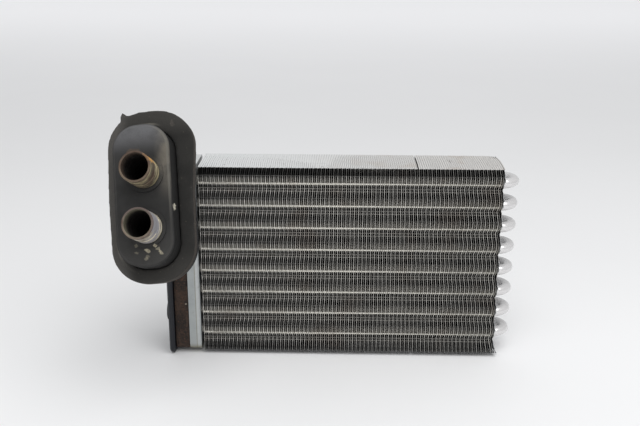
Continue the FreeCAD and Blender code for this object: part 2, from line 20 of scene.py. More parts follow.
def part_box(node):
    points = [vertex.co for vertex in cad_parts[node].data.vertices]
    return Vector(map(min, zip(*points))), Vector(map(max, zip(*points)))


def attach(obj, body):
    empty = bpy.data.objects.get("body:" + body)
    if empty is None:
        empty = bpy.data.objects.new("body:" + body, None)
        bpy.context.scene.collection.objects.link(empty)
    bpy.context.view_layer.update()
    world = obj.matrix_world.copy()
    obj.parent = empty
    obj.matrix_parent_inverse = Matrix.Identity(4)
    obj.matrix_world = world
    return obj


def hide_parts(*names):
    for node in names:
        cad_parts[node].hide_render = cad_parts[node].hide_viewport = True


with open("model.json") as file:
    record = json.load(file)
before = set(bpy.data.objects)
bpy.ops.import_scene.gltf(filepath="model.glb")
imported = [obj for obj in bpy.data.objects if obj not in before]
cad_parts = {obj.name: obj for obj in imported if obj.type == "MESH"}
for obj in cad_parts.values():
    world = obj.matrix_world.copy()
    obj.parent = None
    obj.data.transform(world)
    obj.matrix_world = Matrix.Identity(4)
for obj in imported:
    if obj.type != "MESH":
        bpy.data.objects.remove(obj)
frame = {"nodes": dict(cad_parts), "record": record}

LOG = logging.getLogger("heater_core")
MM = 0.001
BODY = "root"
SEED = 7
ROWS = range(1, 9)
TUBE_RADIUS = 4.0 * MM
STUB_SIDE = 1.6 * MM
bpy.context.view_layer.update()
MIX_SHARE, MIX_FIRST, MIX_SECOND, MIX_RESULT = 0, 6, 7, 2

Pair = tuple[float, float]
Colour = tuple[float, float, float]
Socket = bpy.types.NodeSocket


class Slot(Enum):
    """The record's material slots."""

    FINS = "fin_aluminium"
    TUBES = "tube_aluminium"
    HEADER = "header_aluminium"
    TANK = "tank_plastic"
    RUBBER = "gasket_rubber"
    BAND = "stained_foam"
    SEAL = "gasket_foam"
    GROMMET = "grommet_rubber"
    PIPES = "stained_pipe"


def corners(node: str) -> tuple[Vector, Vector]:
    """Give a node's lowest and highest corners.

    Args:
        node: The node's name.

    Returns:
        The two corners, in metres.
    """
    low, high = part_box(node)
    return Vector(low), Vector(high)


def smooth_step(low: float, high: float, value: float) -> float:
    """Ease from 0 at low to 1 at high.

    Args:
        low: Where the step starts.
        high: Where it ends.
        value: The value to ease.

    Returns:
        The eased share.
    """
    share = min(max((value - low) / (high - low), 0.0), 1.0)
    return share * share * (3.0 - 2.0 * share)


def flange_frame() -> Matrix:
    """Work out the flange's frame from the two stubs' mounts.

    Returns:
        The matrix from the flange's frame to the model's, in metres.
    """
    stub_lift, stub_out = -6.8 * MM, 36.25 * MM
    mounts = {mount["name"]: mount for mount in frame["record"]["mounts"]}
    upper = Vector(mounts["upper_hose_stub"]["pos_m"])
    lower = Vector(mounts["lower_hose_stub"]["pos_m"])
    out = Vector(mounts["upper_hose_stub"]["axis"]).normalized()
    up = (upper - lower).normalized()
    up = (up - out * up.dot(out)).normalized()
    side = up.cross(out)
    origin = (upper + lower) / 2 - side * STUB_SIDE - up * stub_lift - out * stub_out
    turn = Matrix((side, up, out)).transposed().to_4x4()
    return Matrix.Translation(origin) @ turn


FLANGE = flange_frame()


class Graph:
    """A node tree with short calls for the nodes that a finish needs."""

    def __init__(self, tree: bpy.types.NodeTree) -> None:
        """Take the tree to fill."""
        self.tree = tree

    def add(self, kind: str, **settings: object) -> bpy.types.Node:
        """Add a node and set its properties.

        Args:
            kind: The node's type.
            settings: Its properties by name.

        Returns:
            The node.
        """
        node = self.tree.nodes.new(kind)
        for name, value in settings.items():
            setattr(node, name, value)
        return node

    def feed(self, socket: Socket, value: object) -> None:
        """Join a socket to an input, or set the input's own value."""
        if isinstance(value, Socket):
            self.tree.links.new(value, socket)
        elif isinstance(value, tuple) and socket.type == "RGBA":
            socket.default_value = (*value, 1.0)
        else:
            socket.default_value = value

    def maths(self, operation: str, first: object, second: object = 0.0, clamp: bool = False) -> Socket:
        """Combine two values.

        Args:
            operation: The Math node's operation.
            first: A socket or a number.
            second: A socket or a number.
            clamp: Whether the result stays within 0 and 1.

        Returns:
            The result's socket.
        """
        node = self.add("ShaderNodeMath", operation=operation, use_clamp=clamp)
        self.feed(node.inputs[0], first)
        self.feed(node.inputs[1], second)
        return node.outputs[0]

    def times(self, *values: object) -> Socket:
        """Multiply sockets and numbers, one after the other."""
        result = values[0]
        for value in values[1:]:
            result = self.maths("MULTIPLY", result, value)
        return result

    def length(self, first: Socket, second: Socket) -> Socket:
        """Give the length of the diagonal over two sides."""
        squares = self.maths("ADD", self.times(first, first), self.times(second, second))
        return self.maths("SQRT", squares)

    def inset(self, value: Socket, low: float, high: float) -> Socket:
        """Give how far a value lies within its two limits."""
        return self.maths("MINIMUM", self.maths("SUBTRACT", value, low), self.maths("SUBTRACT", high, value))

    def spread(self, value: object, low: object, high: object, start: float = 0.0,
               end: float = 1.0) -> Socket:
        """Ease a value's range onto another.

        Args:
            value: The socket to map.
            low: The value that gives start.
            high: The value that gives end.
            start: The first result.
            end: The last result.

        Returns:
            The mapped socket.
        """
        node = self.add("ShaderNodeMapRange", interpolation_type="SMOOTHSTEP")
        names = ("Value", "From Min", "From Max", "To Min", "To Max")
        for name, given in zip(names, (value, low, high, start, end)):
            self.feed(node.inputs[name], given)
        return node.outputs["Result"]

    def band(self, value: object, rise: Pair, fall: Pair) -> Socket:
        """Mask the values between a soft rise and a soft fall.

        Args:
            value: The socket to mask.
            rise: Where the mask starts and where it is full.
            fall: Where it starts to fall and where it ends.

        Returns:
            The mask's socket.
        """
        return self.times(self.spread(value, *rise), self.spread(value, *reversed(fall)))

    def blend(self, share: object, first: object, second: object) -> Socket:
        """Mix two colours.

        Args:
            share: How much of the second colour shows.
            first: A colour or its socket.
            second: A colour or its socket.

        Returns:
            The colour's socket.
        """
        node = self.add("ShaderNodeMix", data_type="RGBA", blend_type="MIX")
        for place, given in ((MIX_SHARE, share), (MIX_FIRST, first), (MIX_SECOND, second)):
            self.feed(node.inputs[place], given)
        return node.outputs[MIX_RESULT]

    def noise(self, place: Socket, scale: float, detail: float = 3.0, rough: float = 0.55) -> Socket:
        """Give a noise's value over a place.

        Args:
            place: The coordinates.
            scale: Its waves for each metre.
            detail: Its octaves.
            rough: The share of each finer octave.

        Returns:
            The value's socket.
        """
        node = self.add("ShaderNodeTexNoise", noise_dimensions="3D")
        self.feed(node.inputs["Vector"], place)
        for name, value in (("Scale", scale), ("Detail", detail), ("Roughness", rough)):
            self.feed(node.inputs[name], value)
        return node.outputs[0]

    def spot(self, across: Socket, up: Socket, centre: Pair, reach: Pair, ragged: Socket) -> Socket:
        """Mask a ragged spot on a face.

        Args:
            across: The coordinate across the face.
            up: The coordinate up the face.
            centre: The spot's centre, in metres.
            reach: Its half width and half height, in metres.
            ragged: A noise within 0 and 1 that eats into its rim.

        Returns:
            The mask's socket.
        """
        first = self.maths("DIVIDE", self.maths("SUBTRACT", across, centre[0]), reach[0])
        second = self.maths("DIVIDE", self.maths("SUBTRACT", up, centre[1]), reach[1])
        eaten = self.times(self.maths("SUBTRACT", ragged, 0.5), 2.4)
        return self.spread(self.maths("ADD", self.length(first, second), eaten), 0.75, 1.1, 1.0, 0.0)

    def oval(self, across: Socket, up: Socket, centre: Pair, half: Pair, corner: float) -> Socket:
        """Give the distance outside a round-cornered outline, which is negative within it.

        Args:
            across: The coordinate across the outline.
            up: The coordinate up the outline.
            centre: Its centre, in metres.
            half: Half its width and half its height, in metres.
            corner: Its corners' radius, in metres.

        Returns:
            The distance's socket, in metres.
        """
        past = []
        for value, middle, reach in zip((across, up), centre, half):
            away = self.maths("ABSOLUTE", self.maths("SUBTRACT", value, middle))
            past.append(self.maths("SUBTRACT", away, reach - corner))
        first, second = (self.maths("MAXIMUM", value, 0.0) for value in past)
        inner = self.maths("MINIMUM", self.maths("MAXIMUM", *past), 0.0)
        return self.maths("SUBTRACT", self.maths("ADD", self.length(first, second), inner), corner)

    def place(self, turned: Matrix | None = None, stretch: Colour = (1.0, 1.0, 1.0)) -> Socket:
        """Give the model's coordinates, or those of a frame of its own.

        Args:
            turned: The frame's matrix.
            stretch: How much each axis is stretched.

        Returns:
            The coordinates' socket, in metres.
        """
        source = self.add("ShaderNodeTexCoord").outputs["Object"]
        if turned is not None:
            back = turned.inverted()
            mapping = self.add("ShaderNodeMapping", vector_type="POINT")
            mapping.inputs["Location"].default_value = back.to_translation()
            mapping.inputs["Rotation"].default_value = back.to_euler("XYZ")
            self.feed(mapping.inputs["Vector"], source)
            source = mapping.outputs[0]
        if stretch != (1.0, 1.0, 1.0):
            mapping = self.add("ShaderNodeMapping", vector_type="POINT")
            mapping.inputs["Scale"].default_value = stretch
            self.feed(mapping.inputs["Vector"], source)
            source = mapping.outputs[0]
        return source

    def axes(self, place: Socket) -> tuple[Socket, Socket, Socket]:
        """Split coordinates into their three axes."""
        node = self.add("ShaderNodeSeparateXYZ")
        self.feed(node.inputs[0], place)
        return node.outputs[0], node.outputs[1], node.outputs[2]

    def group(self, tree: bpy.types.NodeTree, **inputs: object) -> bpy.types.Node:
        """Place a shared group with its own values.

        Args:
            tree: The group.
            inputs: Its values by input name, with a space as an underscore.

        Returns:
            The group's node.
        """
        node = self.add("ShaderNodeGroup", node_tree=tree)
        for name, value in inputs.items():
            self.feed(node.inputs[name.replace("_", " ")], value)
        return node


def new_group(name: str, outputs: tuple[str, ...], **amounts: float) -> tuple[Graph, Socket, Socket]:
    """Start a shared group that takes a place and some amounts.

    Args:
        name: The group's name.
        outputs: The names of the values that it puts out.
        amounts: Its other inputs with their defaults.

    Returns:
        The graph, the input node's sockets and the output node's sockets.
    """
    tree = bpy.data.node_groups.new(name, "ShaderNodeTree")
    tree.interface.new_socket("Place", in_out="INPUT", socket_type="NodeSocketVector")
    for title, value in amounts.items():
        socket = tree.interface.new_socket(title, in_out="INPUT", socket_type="NodeSocketFloat")
        socket.default_value = value
    for title in outputs:
        tree.interface.new_socket(title, in_out="OUTPUT", socket_type="NodeSocketFloat")
    graph = Graph(tree)
    start = graph.add("NodeGroupInput")
    end = graph.add("NodeGroupOutput")
    return graph, start.outputs, end.inputs


def shared_texture(graph: Graph, kind: str, given: Socket) -> bpy.types.Node:
    """Add a texture that takes its group's place and scale.

    Args:
        graph: The group's graph.
        kind: The texture node's type.
        given: The group's input sockets.

    Returns:
        The texture's node.
    """
    node = graph.add(kind)
    graph.feed(node.inputs["Vector"], given["Place"])
    graph.feed(node.inputs["Scale"], given["Scale"])
    return node


def grain_group() -> bpy.types.NodeTree:
    """Make the fine grain that moulded, rubber and foam surfaces share.

    Returns:
        A group that puts out a height and a mask of darker pits.
    """
    graph, given, out = new_group("surface_grain", ("Height", "Pits"), Scale=900.0)
    fine = shared_texture(graph, "ShaderNodeTexNoise", given)
    cells = shared_texture(graph, "ShaderNodeTexVoronoi", given)
    fine.inputs["Detail"].default_value = 4.0
    fine.inputs["Roughness"].default_value = 0.65
    pits = graph.spread(cells.outputs["Distance"], 0.12, 0.42, 1.0, 0.0)
    graph.feed(out["Height"], graph.maths("SUBTRACT", fine.outputs[0], graph.times(pits, 0.5)))
    graph.feed(out["Pits"], pits)
    return graph.tree


def dust_group() -> bpy.types.NodeTree:
    """Make the dust that settles where a surface looks up, in soft patches.

    Returns:
        A group that puts out the dust's mask.
    """
    graph, given, out = new_group("settled_dust", ("Mask",), Scale=60.0, Amount=0.5)
    facing = graph.axes(graph.add("ShaderNodeNewGeometry").outputs["Normal"])[2]
    patches = shared_texture(graph, "ShaderNodeTexNoise", given)
    patches.inputs["Detail"].default_value = 5.0
    rise = graph.spread(facing, -0.2, 1.0, 0.15, 1.0)
    soft = graph.spread(patches.outputs[0], 0.3, 0.7)
    mask = graph.maths("MULTIPLY", graph.times(rise, soft), given["Amount"], clamp=True)
    graph.feed(out["Mask"], mask)
    return graph.tree


def speckle_group() -> bpy.types.NodeTree:
    """Make scattered specks of dirt, crumbs or scale.

    Returns:
        A group that puts out the specks' mask.
    """
    graph, given, out = new_group("specks", ("Mask",), Scale=400.0, Share=0.1)
    cells = shared_texture(graph, "ShaderNodeTexVoronoi", given)
    chosen = graph.maths("LESS_THAN", graph.axes(cells.outputs["Color"])[0], given["Share"])
    core = graph.spread(cells.outputs["Distance"], 0.18, 0.36, 1.0, 0.0)
    graph.feed(out["Mask"], graph.times(chosen, core))
    return graph.tree


@dataclass(frozen=True)
class Effects:
    """The shared groups, built once."""

    grain: bpy.types.NodeTree
    dust: bpy.types.NodeTree
    specks: bpy.types.NodeTree

    def dots(self, graph: Graph, place: Socket, scale: float, share: float) -> Socket:
        """Scatter specks over a share of a place's cells and give their mask."""
        return graph.group(self.specks, Place=place, Scale=scale, Share=share).outputs["Mask"]


def new_material(name: str) -> tuple[bpy.types.Material, Graph, bpy.types.Node]:
    """Start a material.

    Args:
        name: The material's name.

    Returns:
        The material, its graph and its shader node.
    """
    material = bpy.data.materials.new(name)
    material.use_nodes = True
    graph = Graph(material.node_tree)
    shader = material.node_tree.nodes["Principled BSDF"]
    return material, graph, shader


def rough_up(graph: Graph, shader: bpy.types.Node, height: Socket, depth: float) -> None:
    """Give a shader a bump.

    Args:
        graph: The material's graph.
        shader: The shader that gets the normal.
        height: The height's socket, within 0 and 1.
        depth: The bump's depth in metres.
    """
    bump = graph.add("ShaderNodeBump")
    bump.inputs["Distance"].default_value = depth
    bump.inputs["Strength"].default_value = 1.0
    graph.feed(bump.inputs["Height"], height)
    graph.feed(shader.inputs["Normal"], bump.outputs[0])


@dataclass(frozen=True)
class FinFinish:
    """Thin bare aluminium: pale edges and folded lips, with painted light and shade: a painted lit band and
    highlight on the faces at each tube row, painted shadow under it, and painted shade deeper in, at the top
    and bottom, on the edges between the rows and on the lips underneath.
    """

    effects: Effects
    row: float
    row_pitch: float
    gap: float
    edge: Colour = (0.57, 0.555, 0.525)
    dull_edge: Colour = (0.27, 0.265, 0.25)
    shaded_edge: Colour = (0.07, 0.07, 0.07)
    lip: Colour = (0.70, 0.71, 0.71)
    lip_far: Colour = (0.63, 0.61, 0.585)
    shaded_lip_below: Colour = (0.10, 0.10, 0.10)
    hatching: Colour = (0.40, 0.40, 0.40)
    smear: Colour = (0.46, 0.40, 0.35)
    dirt: Colour = (0.16, 0.15, 0.14)
    shaded_face: Colour = (0.060, 0.058, 0.055)
    lit_warm: Colour = (0.35, 0.335, 0.30)
    highlight_line: Colour = (0.80, 0.78, 0.71)
    shade: Colour = (0.010, 0.010, 0.010)
    brown: Colour = (0.26, 0.20, 0.16)
    outer: Colour = (0.66, 0.67, 0.68)
    outer_worn: Colour = (0.44, 0.43, 0.42)
    edge_depth: float = 1.6 * MM
    lip_depth: float = 0.9 * MM
    below: float = 6.0 * MM
    band_depth: float = 6.4 * MM
    smooth_end: float = -70.0 * MM
    hatched_from: float = 30.0 * MM
    swept_from: float = -20.0 * MM
    browned_from: float = 130.0 * MM
    hatch_pitch: float = 1.85 * MM
    hatch_sweep: float = 8.0
    edge_shade_reach: float = 130.0 * MM
    over: Pair = (153.4 * MM, 154.4 * MM)
    under: Pair = (8.5 * MM, 6.5 * MM)
    past_fins: Pair = (0.25 * MM, 0.45 * MM)
    above_foot: Pair = (1.0 * MM, 2.0 * MM)
    soft: float = 0.2 * MM

    def lift(self, graph: Graph, up: Socket) -> Socket:
        """Give the height over the nearest tube row, from a little below it to just under the next."""
        turns = graph.maths("DIVIDE", graph.maths("SUBTRACT", up, self.row - self.below), self.row_pitch)
        return graph.maths("SUBTRACT", graph.times(graph.maths("FRACT", turns), self.row_pitch), self.below)

    def stretch(self, graph: Graph, lift: Socket, low: float, high: float) -> Socket:
        """Mask the heights between two lifts, with soft ends."""
        return graph.band(lift, (low - self.soft, low + self.soft), (high - self.soft, high + self.soft))

    def face_tone(self, graph: Graph, up: Socket) -> Socket:
        """Colour the faces by height with painted light and shade: a painted lit band, a painted highlight
        and a painted shadow at each tube row, and two thin painted lit streaks lower down.

        Args:
            graph: The material's graph.
            up: The height's socket.

        Returns:
            The colour's socket.
        """
        lift = self.lift(graph, up)
        # The faces start from a dark colour that is painted shade.
        colour = self.shaded_face
        for low, high, tone in ((0.9, 4.6, self.lit_warm), (-0.8, 1.2, self.highlight_line), (-3.0, -0.8, self.shade),
                                (-3.6, -3.1, self.lit_warm), (-5.9, -5.4, self.lit_warm)):
            colour = graph.blend(self.stretch(graph, lift, low * MM, high * MM), colour, tone)
        return colour

    def edge_tone(self, graph: Graph, place: Socket, ends: Socket, low: Vector) -> Socket:
        """Colour the open edges: bright or dull by fin, stained, and with painted shade between and under the
        tube rows, strongest at the tank's end where the photograph's are faint, and over and under the rows.

        Args:
            graph: The material's graph.
            place: The coordinates' socket.
            ends: The mask of the painted shade over and under the rows.
            low: The block's lowest corner.

        Returns:
            The colour's socket.
        """
        along, _, up = graph.axes(place)
        tone = graph.add("ShaderNodeAttribute", attribute_type="GEOMETRY", attribute_name="tone")
        edge = graph.blend(tone.outputs["Fac"], self.dull_edge, self.edge)
        stain = graph.spread(graph.noise(place, 34.0, 4.0), 0.50, 0.70, 0.0, 0.5)
        edge = graph.blend(stain, edge, self.brown)
        lift = self.lift(graph, up)
        # Painted shade on the edges between the rows and under each row, fading towards the bends.
        between = self.stretch(graph, lift, 6.0 * MM, 11.2 * MM)
        under = self.stretch(graph, lift, -3.0 * MM, -0.8 * MM)
        fading = graph.spread(along, low.x, low.x + self.edge_shade_reach, 0.68, 0.18)
        edge = graph.blend(graph.times(graph.maths("MAXIMUM", between, under), fading), edge, self.shaded_edge)
        return graph.blend(ends, edge, self.shade)

    def lip_tone(self, graph: Graph, place: Socket, middle: float, reach: float) -> Socket:
        """Colour the folded lips: smooth and pale at the tank's end, hatched and browner towards the bends.

        Args:
            graph: The material's graph.
            place: The coordinates' socket.
            middle: The block's middle depth.
            reach: The block's whole depth.

        Returns:
            The colour's socket.
        """
        along, across, _ = graph.axes(place)
        far = graph.spread(along, self.smooth_end, self.browned_from)
        colour = graph.blend(far, self.lip, self.lip_far)
        before_gap = graph.maths("LESS_THAN", along, self.gap)
        sweep = graph.times(graph.spread(along, self.swept_from, self.gap), before_gap, self.hatch_sweep)
        back = graph.maths("DIVIDE", graph.maths("SUBTRACT", across, middle), reach)
        turns = graph.maths("DIVIDE", along, self.hatch_pitch)
        phase = graph.maths("SUBTRACT", turns, graph.times(sweep, back))
        wave = graph.maths("SINE", graph.times(phase, 2.0 * math.pi))
        strength = graph.spread(along, self.smooth_end, self.hatched_from, 0.03, 0.62)
        colour = graph.blend(graph.times(graph.spread(wave, -0.5, 0.8), strength), colour, self.hatching)
        smear = graph.times(graph.spread(graph.noise(place, 60.0, 4.0), 0.50, 0.68, 0.0, 0.5), far)
        colour = graph.blend(smear, colour, self.smear)
        dirt = self.effects.dots(graph, place, 300.0, 0.035)
        return graph.blend(graph.times(dirt, 0.55), colour, self.dirt)

    def material(self) -> bpy.types.Material:
        """Make the material of the fins.

        Returns:
            The material.
        """
        low, high = corners("fins")
        middle, reach = (low.y + high.y) / 2, high.y - low.y
        material, graph, shader = new_material("fin_aluminium")
        place = graph.place()
        along, across, up = graph.axes(place)
        depth = graph.inset(across, low.y, high.y)
        rim = graph.spread(depth, 0.0, self.edge_depth, 1.0, 0.0)
        top = graph.inset(up, low.z, high.z)
        lip = graph.spread(top, self.lip_depth * 0.4, self.lip_depth, 1.0, 0.0)
        # Painted shade over the top row and under the bottom row.
        over = graph.spread(up, *self.over)
        under = graph.spread(up, *self.under, 0.0, 0.6)
        fading = graph.spread(along, low.x, high.x, 0.93, 0.55)
        ends = graph.times(graph.maths("MAXIMUM", over, under), fading)
        # Painted shade: the faces darken the deeper they lie between the fins.
        deep = graph.spread(depth, self.band_depth * 0.3, self.band_depth * 3.0, 0.0, 0.85)
        face = graph.blend(deep, self.face_tone(graph, up), self.shaded_face)
        edge = self.edge_tone(graph, place, ends, low)
        colour = graph.blend(rim, graph.blend(ends, face, self.shade), edge)
        outside = graph.spread(graph.maths("SUBTRACT", along, high.x), *self.past_fins)
        worn = graph.spread(graph.noise(place, 90.0, 5.0), 0.35, 0.7, 0.0, 0.5)
        colour = graph.blend(outside, colour, graph.blend(worn, self.outer, self.outer_worn))
        # Painted shade: the folded lips along the block's foot are darkened.
        above = graph.spread(graph.maths("SUBTRACT", up, low.z), *self.above_foot)
        folded = graph.blend(above, self.shaded_lip_below, self.lip_tone(graph, place, middle, reach))
        graph.feed(shader.inputs["Base Color"], graph.blend(lip, colour, folded))
        graph.feed(shader.inputs["Metallic"], graph.times(graph.maths("MAXIMUM", rim, lip), 0.3))
        graph.feed(shader.inputs["Roughness"], graph.spread(graph.noise(place, 500.0), 0.3, 0.7, 0.46, 0.62))
        return material


@dataclass(frozen=True)
class TubeFinish:
    """Drawn aluminium tube: pearly on the open bends, dull and darker between the fins, where the darker
    colour is partly painted shade.
    """

    bend: Colour = (0.68, 0.67, 0.67)
    bend_cloud: Colour = (0.58, 0.57, 0.565)
    shaded_leg: Colour = (0.46, 0.44, 0.40)
    leg_smear: Colour = (0.52, 0.47, 0.40)

    def material(self) -> bpy.types.Material:
        """Make the material of the hairpin tubes.

        Returns:
            The material.
        """
        high = corners("outer_end_fin")[1]
        material, graph, shader = new_material("tube_aluminium")
        place = graph.place()
        along = graph.axes(place)[0]
        out = graph.spread(along, high.x - 1.0 * MM, high.x + 0.5 * MM)
        smear = graph.spread(graph.noise(place, 120.0, 4.0), 0.35, 0.75, 0.0, 0.35)
        cloud = graph.spread(graph.noise(place, 260.0, 3.0), 0.4, 0.7, 0.0, 0.25)
        # The darker colour between the fins is partly painted shade.
        shaded_leg = graph.blend(smear, self.shaded_leg, self.leg_smear)
        pearl = graph.blend(cloud, self.bend, self.bend_cloud)
        graph.feed(shader.inputs["Base Color"], graph.blend(out, shaded_leg, pearl))
        graph.feed(shader.inputs["Metallic"], graph.times(out, 0.50))
        graph.feed(shader.inputs["Roughness"], graph.spread(out, 0.0, 1.0, 0.60, 0.24))
        rough_up(graph, shader, graph.noise(graph.place(stretch=(0.25, 1.0, 1.0)), 500.0, 2.0), 0.006 * MM)
        return material


@dataclass(frozen=True)
class HeaderFinish:
    """Weathered matt aluminium sheet, with a painted highlight on its rounded folded edge and painted shade
    in the crease beside it.
    """

    effects: Effects
    colour: Colour = (0.345, 0.362, 0.36)
    cloud: Colour = (0.275, 0.30, 0.305)
    fold_highlight: Colour = (0.43, 0.445, 0.445)
    grime_and_shade: Colour = (0.20, 0.185, 0.12)
    bare: Colour = (0.66, 0.67, 0.67)
    fold_rise: Pair = (-102.2 * MM, -101.8 * MM)
    fold_fall: Pair = (-100.0 * MM, -99.6 * MM)
    crease_rise: Pair = (-102.9 * MM, -102.6 * MM)
    crease_fall: Pair = (-102.3 * MM, -102.0 * MM)
    bare_rise: Pair = (150.0 * MM, 158.0 * MM)
    foot_reach: Pair = (1.0 * MM, 6.0 * MM)

    def material(self) -> bpy.types.Material:
        """Make the material of the header plate.

        Returns:
            The material.
        """
        low, _ = corners("header_plate")
        material, graph, shader = new_material("header_aluminium")
        place = graph.place()
        along, _, up = graph.axes(place)
        clouds = graph.spread(graph.noise(place, 55.0, 5.0), 0.35, 0.7, 0.0, 0.5)
        colour = graph.blend(clouds, self.colour, self.cloud)
        # Painted highlight: the strip on the rounded folded edge is lighter.
        folded = graph.band(along, self.fold_rise, self.fold_fall)
        colour = graph.blend(folded, colour, self.fold_highlight)
        # Painted shade: the crease beside it is darkened.
        crease = graph.band(along, self.crease_rise, self.crease_fall)
        colour = graph.blend(graph.times(crease, 0.6), colour, self.grime_and_shade)
        specks = self.effects.dots(graph, place, 420.0, 0.10)
        colour = graph.blend(graph.times(specks, 0.4), colour, self.grime_and_shade)
        colour = graph.blend(graph.spread(up, *self.bare_rise), colour, self.bare)
        # Darker, olive-brown, towards the foot.
        foot = graph.spread(graph.maths("SUBTRACT", up, low.z), *self.foot_reach, 0.75, 0.0)
        graph.feed(shader.inputs["Base Color"], graph.blend(foot, colour, self.grime_and_shade))
        shader.inputs["Metallic"].default_value = 0.55
        uneven = graph.spread(graph.noise(place, 300.0, 4.0), 0.3, 0.7, 0.42, 0.6)
        graph.feed(shader.inputs["Roughness"], uneven)
        rough_up(graph, shader, graph.noise(place, 600.0, 4.0), 0.03 * MM)
        return material


@dataclass(frozen=True)
class PlasticFinish:
    """Black moulded plastic with a fine spark grain and a thin veil of dust."""

    effects: Effects
    colour: Colour = (0.0055, 0.0068, 0.0105)
    dust: Colour = (0.085, 0.084, 0.082)

    def material(self) -> bpy.types.Material:
        """Make the material of the end tank.

        Returns:
            The material.
        """
        material, graph, shader = new_material("tank_plastic")
        place = graph.place()
        grain = graph.group(self.effects.grain, Place=place, Scale=1500.0)
        veil = graph.group(self.effects.dust, Place=place, Scale=70.0, Amount=0.16).outputs["Mask"]
        scuffs = self.effects.dots(graph, place, 260.0, 0.05)
        colour = graph.blend(veil, self.colour, self.dust)
        graph.feed(shader.inputs["Base Color"], graph.blend(graph.times(scuffs, 0.25), colour, self.dust))
        graph.feed(shader.inputs["Roughness"], graph.spread(veil, 0.0, 0.3, 0.36, 0.55))
        shader.inputs["Specular IOR Level"].default_value = 0.35
        rough_up(graph, shader, grain.outputs["Height"], 0.04 * MM)
        return material


@dataclass(frozen=True)
class RubberFinish:
    """Plain black rubber, for the hidden seals."""

    effects: Effects
    colour: Colour = (0.022, 0.022, 0.022)
    pit: Colour = (0.012, 0.012, 0.012)

    def material(self) -> bpy.types.Material:
        """Make the material of the hidden seals.

        Returns:
            The material.
        """
        material, graph, shader = new_material("gasket_rubber")
        grain = graph.group(self.effects.grain, Place=graph.place(), Scale=1800.0)
        graph.feed(shader.inputs["Base Color"], graph.blend(grain.outputs["Pits"], self.colour, self.pit))
        shader.inputs["Roughness"].default_value = 0.62
        rough_up(graph, shader, grain.outputs["Height"], 0.03 * MM)
        return material


@dataclass(frozen=True)
class BandFinish:
    """Open sponge, soaked with rust-brown stain."""

    effects: Effects
    dark: Colour = (0.013, 0.0085, 0.0065)
    brown: Colour = (0.046, 0.026, 0.017)
    rust: Colour = (0.115, 0.055, 0.032)
    crumb: Colour = (0.30, 0.26, 0.21)
    pit: Colour = (0.008, 0.005, 0.004)

    def material(self) -> bpy.types.Material:
        """Make the material of the foam band.

        Returns:
            The material.
        """
        material, graph, shader = new_material("stained_foam")
        place = graph.place()
        cells = graph.group(self.effects.grain, Place=place, Scale=1100.0)
        mottle = graph.maths("ADD", graph.noise(place, 90.0, 3.0), graph.noise(place, 620.0, 3.0))
        colour = graph.blend(graph.spread(mottle, 0.78, 1.20), self.dark, self.brown)
        red = self.effects.dots(graph, place, 620.0, 0.26)
        colour = graph.blend(graph.times(red, 0.7), colour, self.rust)
        pale = self.effects.dots(graph, place, 380.0, 0.025)
        colour = graph.blend(graph.times(pale, 0.8), colour, self.crumb)
        colour = graph.blend(graph.times(cells.outputs["Pits"], 0.6), colour, self.pit)
        graph.feed(shader.inputs["Base Color"], colour)
        shader.inputs["Roughness"].default_value = 0.92
        rough_up(graph, shader, cells.outputs["Height"], 0.5 * MM)
        return material


@dataclass(frozen=True)
class Outline:
    """The grommet's round-cornered outline in the flange's frame."""

    centre: Pair = (-0.6 * MM, -1.9 * MM)
    half: Pair = (20.5 * MM, 50.75 * MM)
    corner: float = 18.0 * MM

    def distance(self, graph: Graph, side: Socket, up: Socket) -> Socket:
        """Give the distance outside the outline."""
        return graph.oval(side, up, self.centre, self.half, self.corner)

    def gap(self, side: float, up: float) -> float:
        """Give how far a point lies outside the outline, or 0 within it."""
        across = max(abs(side - self.centre[0]) - self.half[0] + self.corner, 0.0)
        along = max(abs(up - self.centre[1]) - self.half[1] + self.corner, 0.0)
        return max(math.hypot(across, along) - self.corner, 0.0)


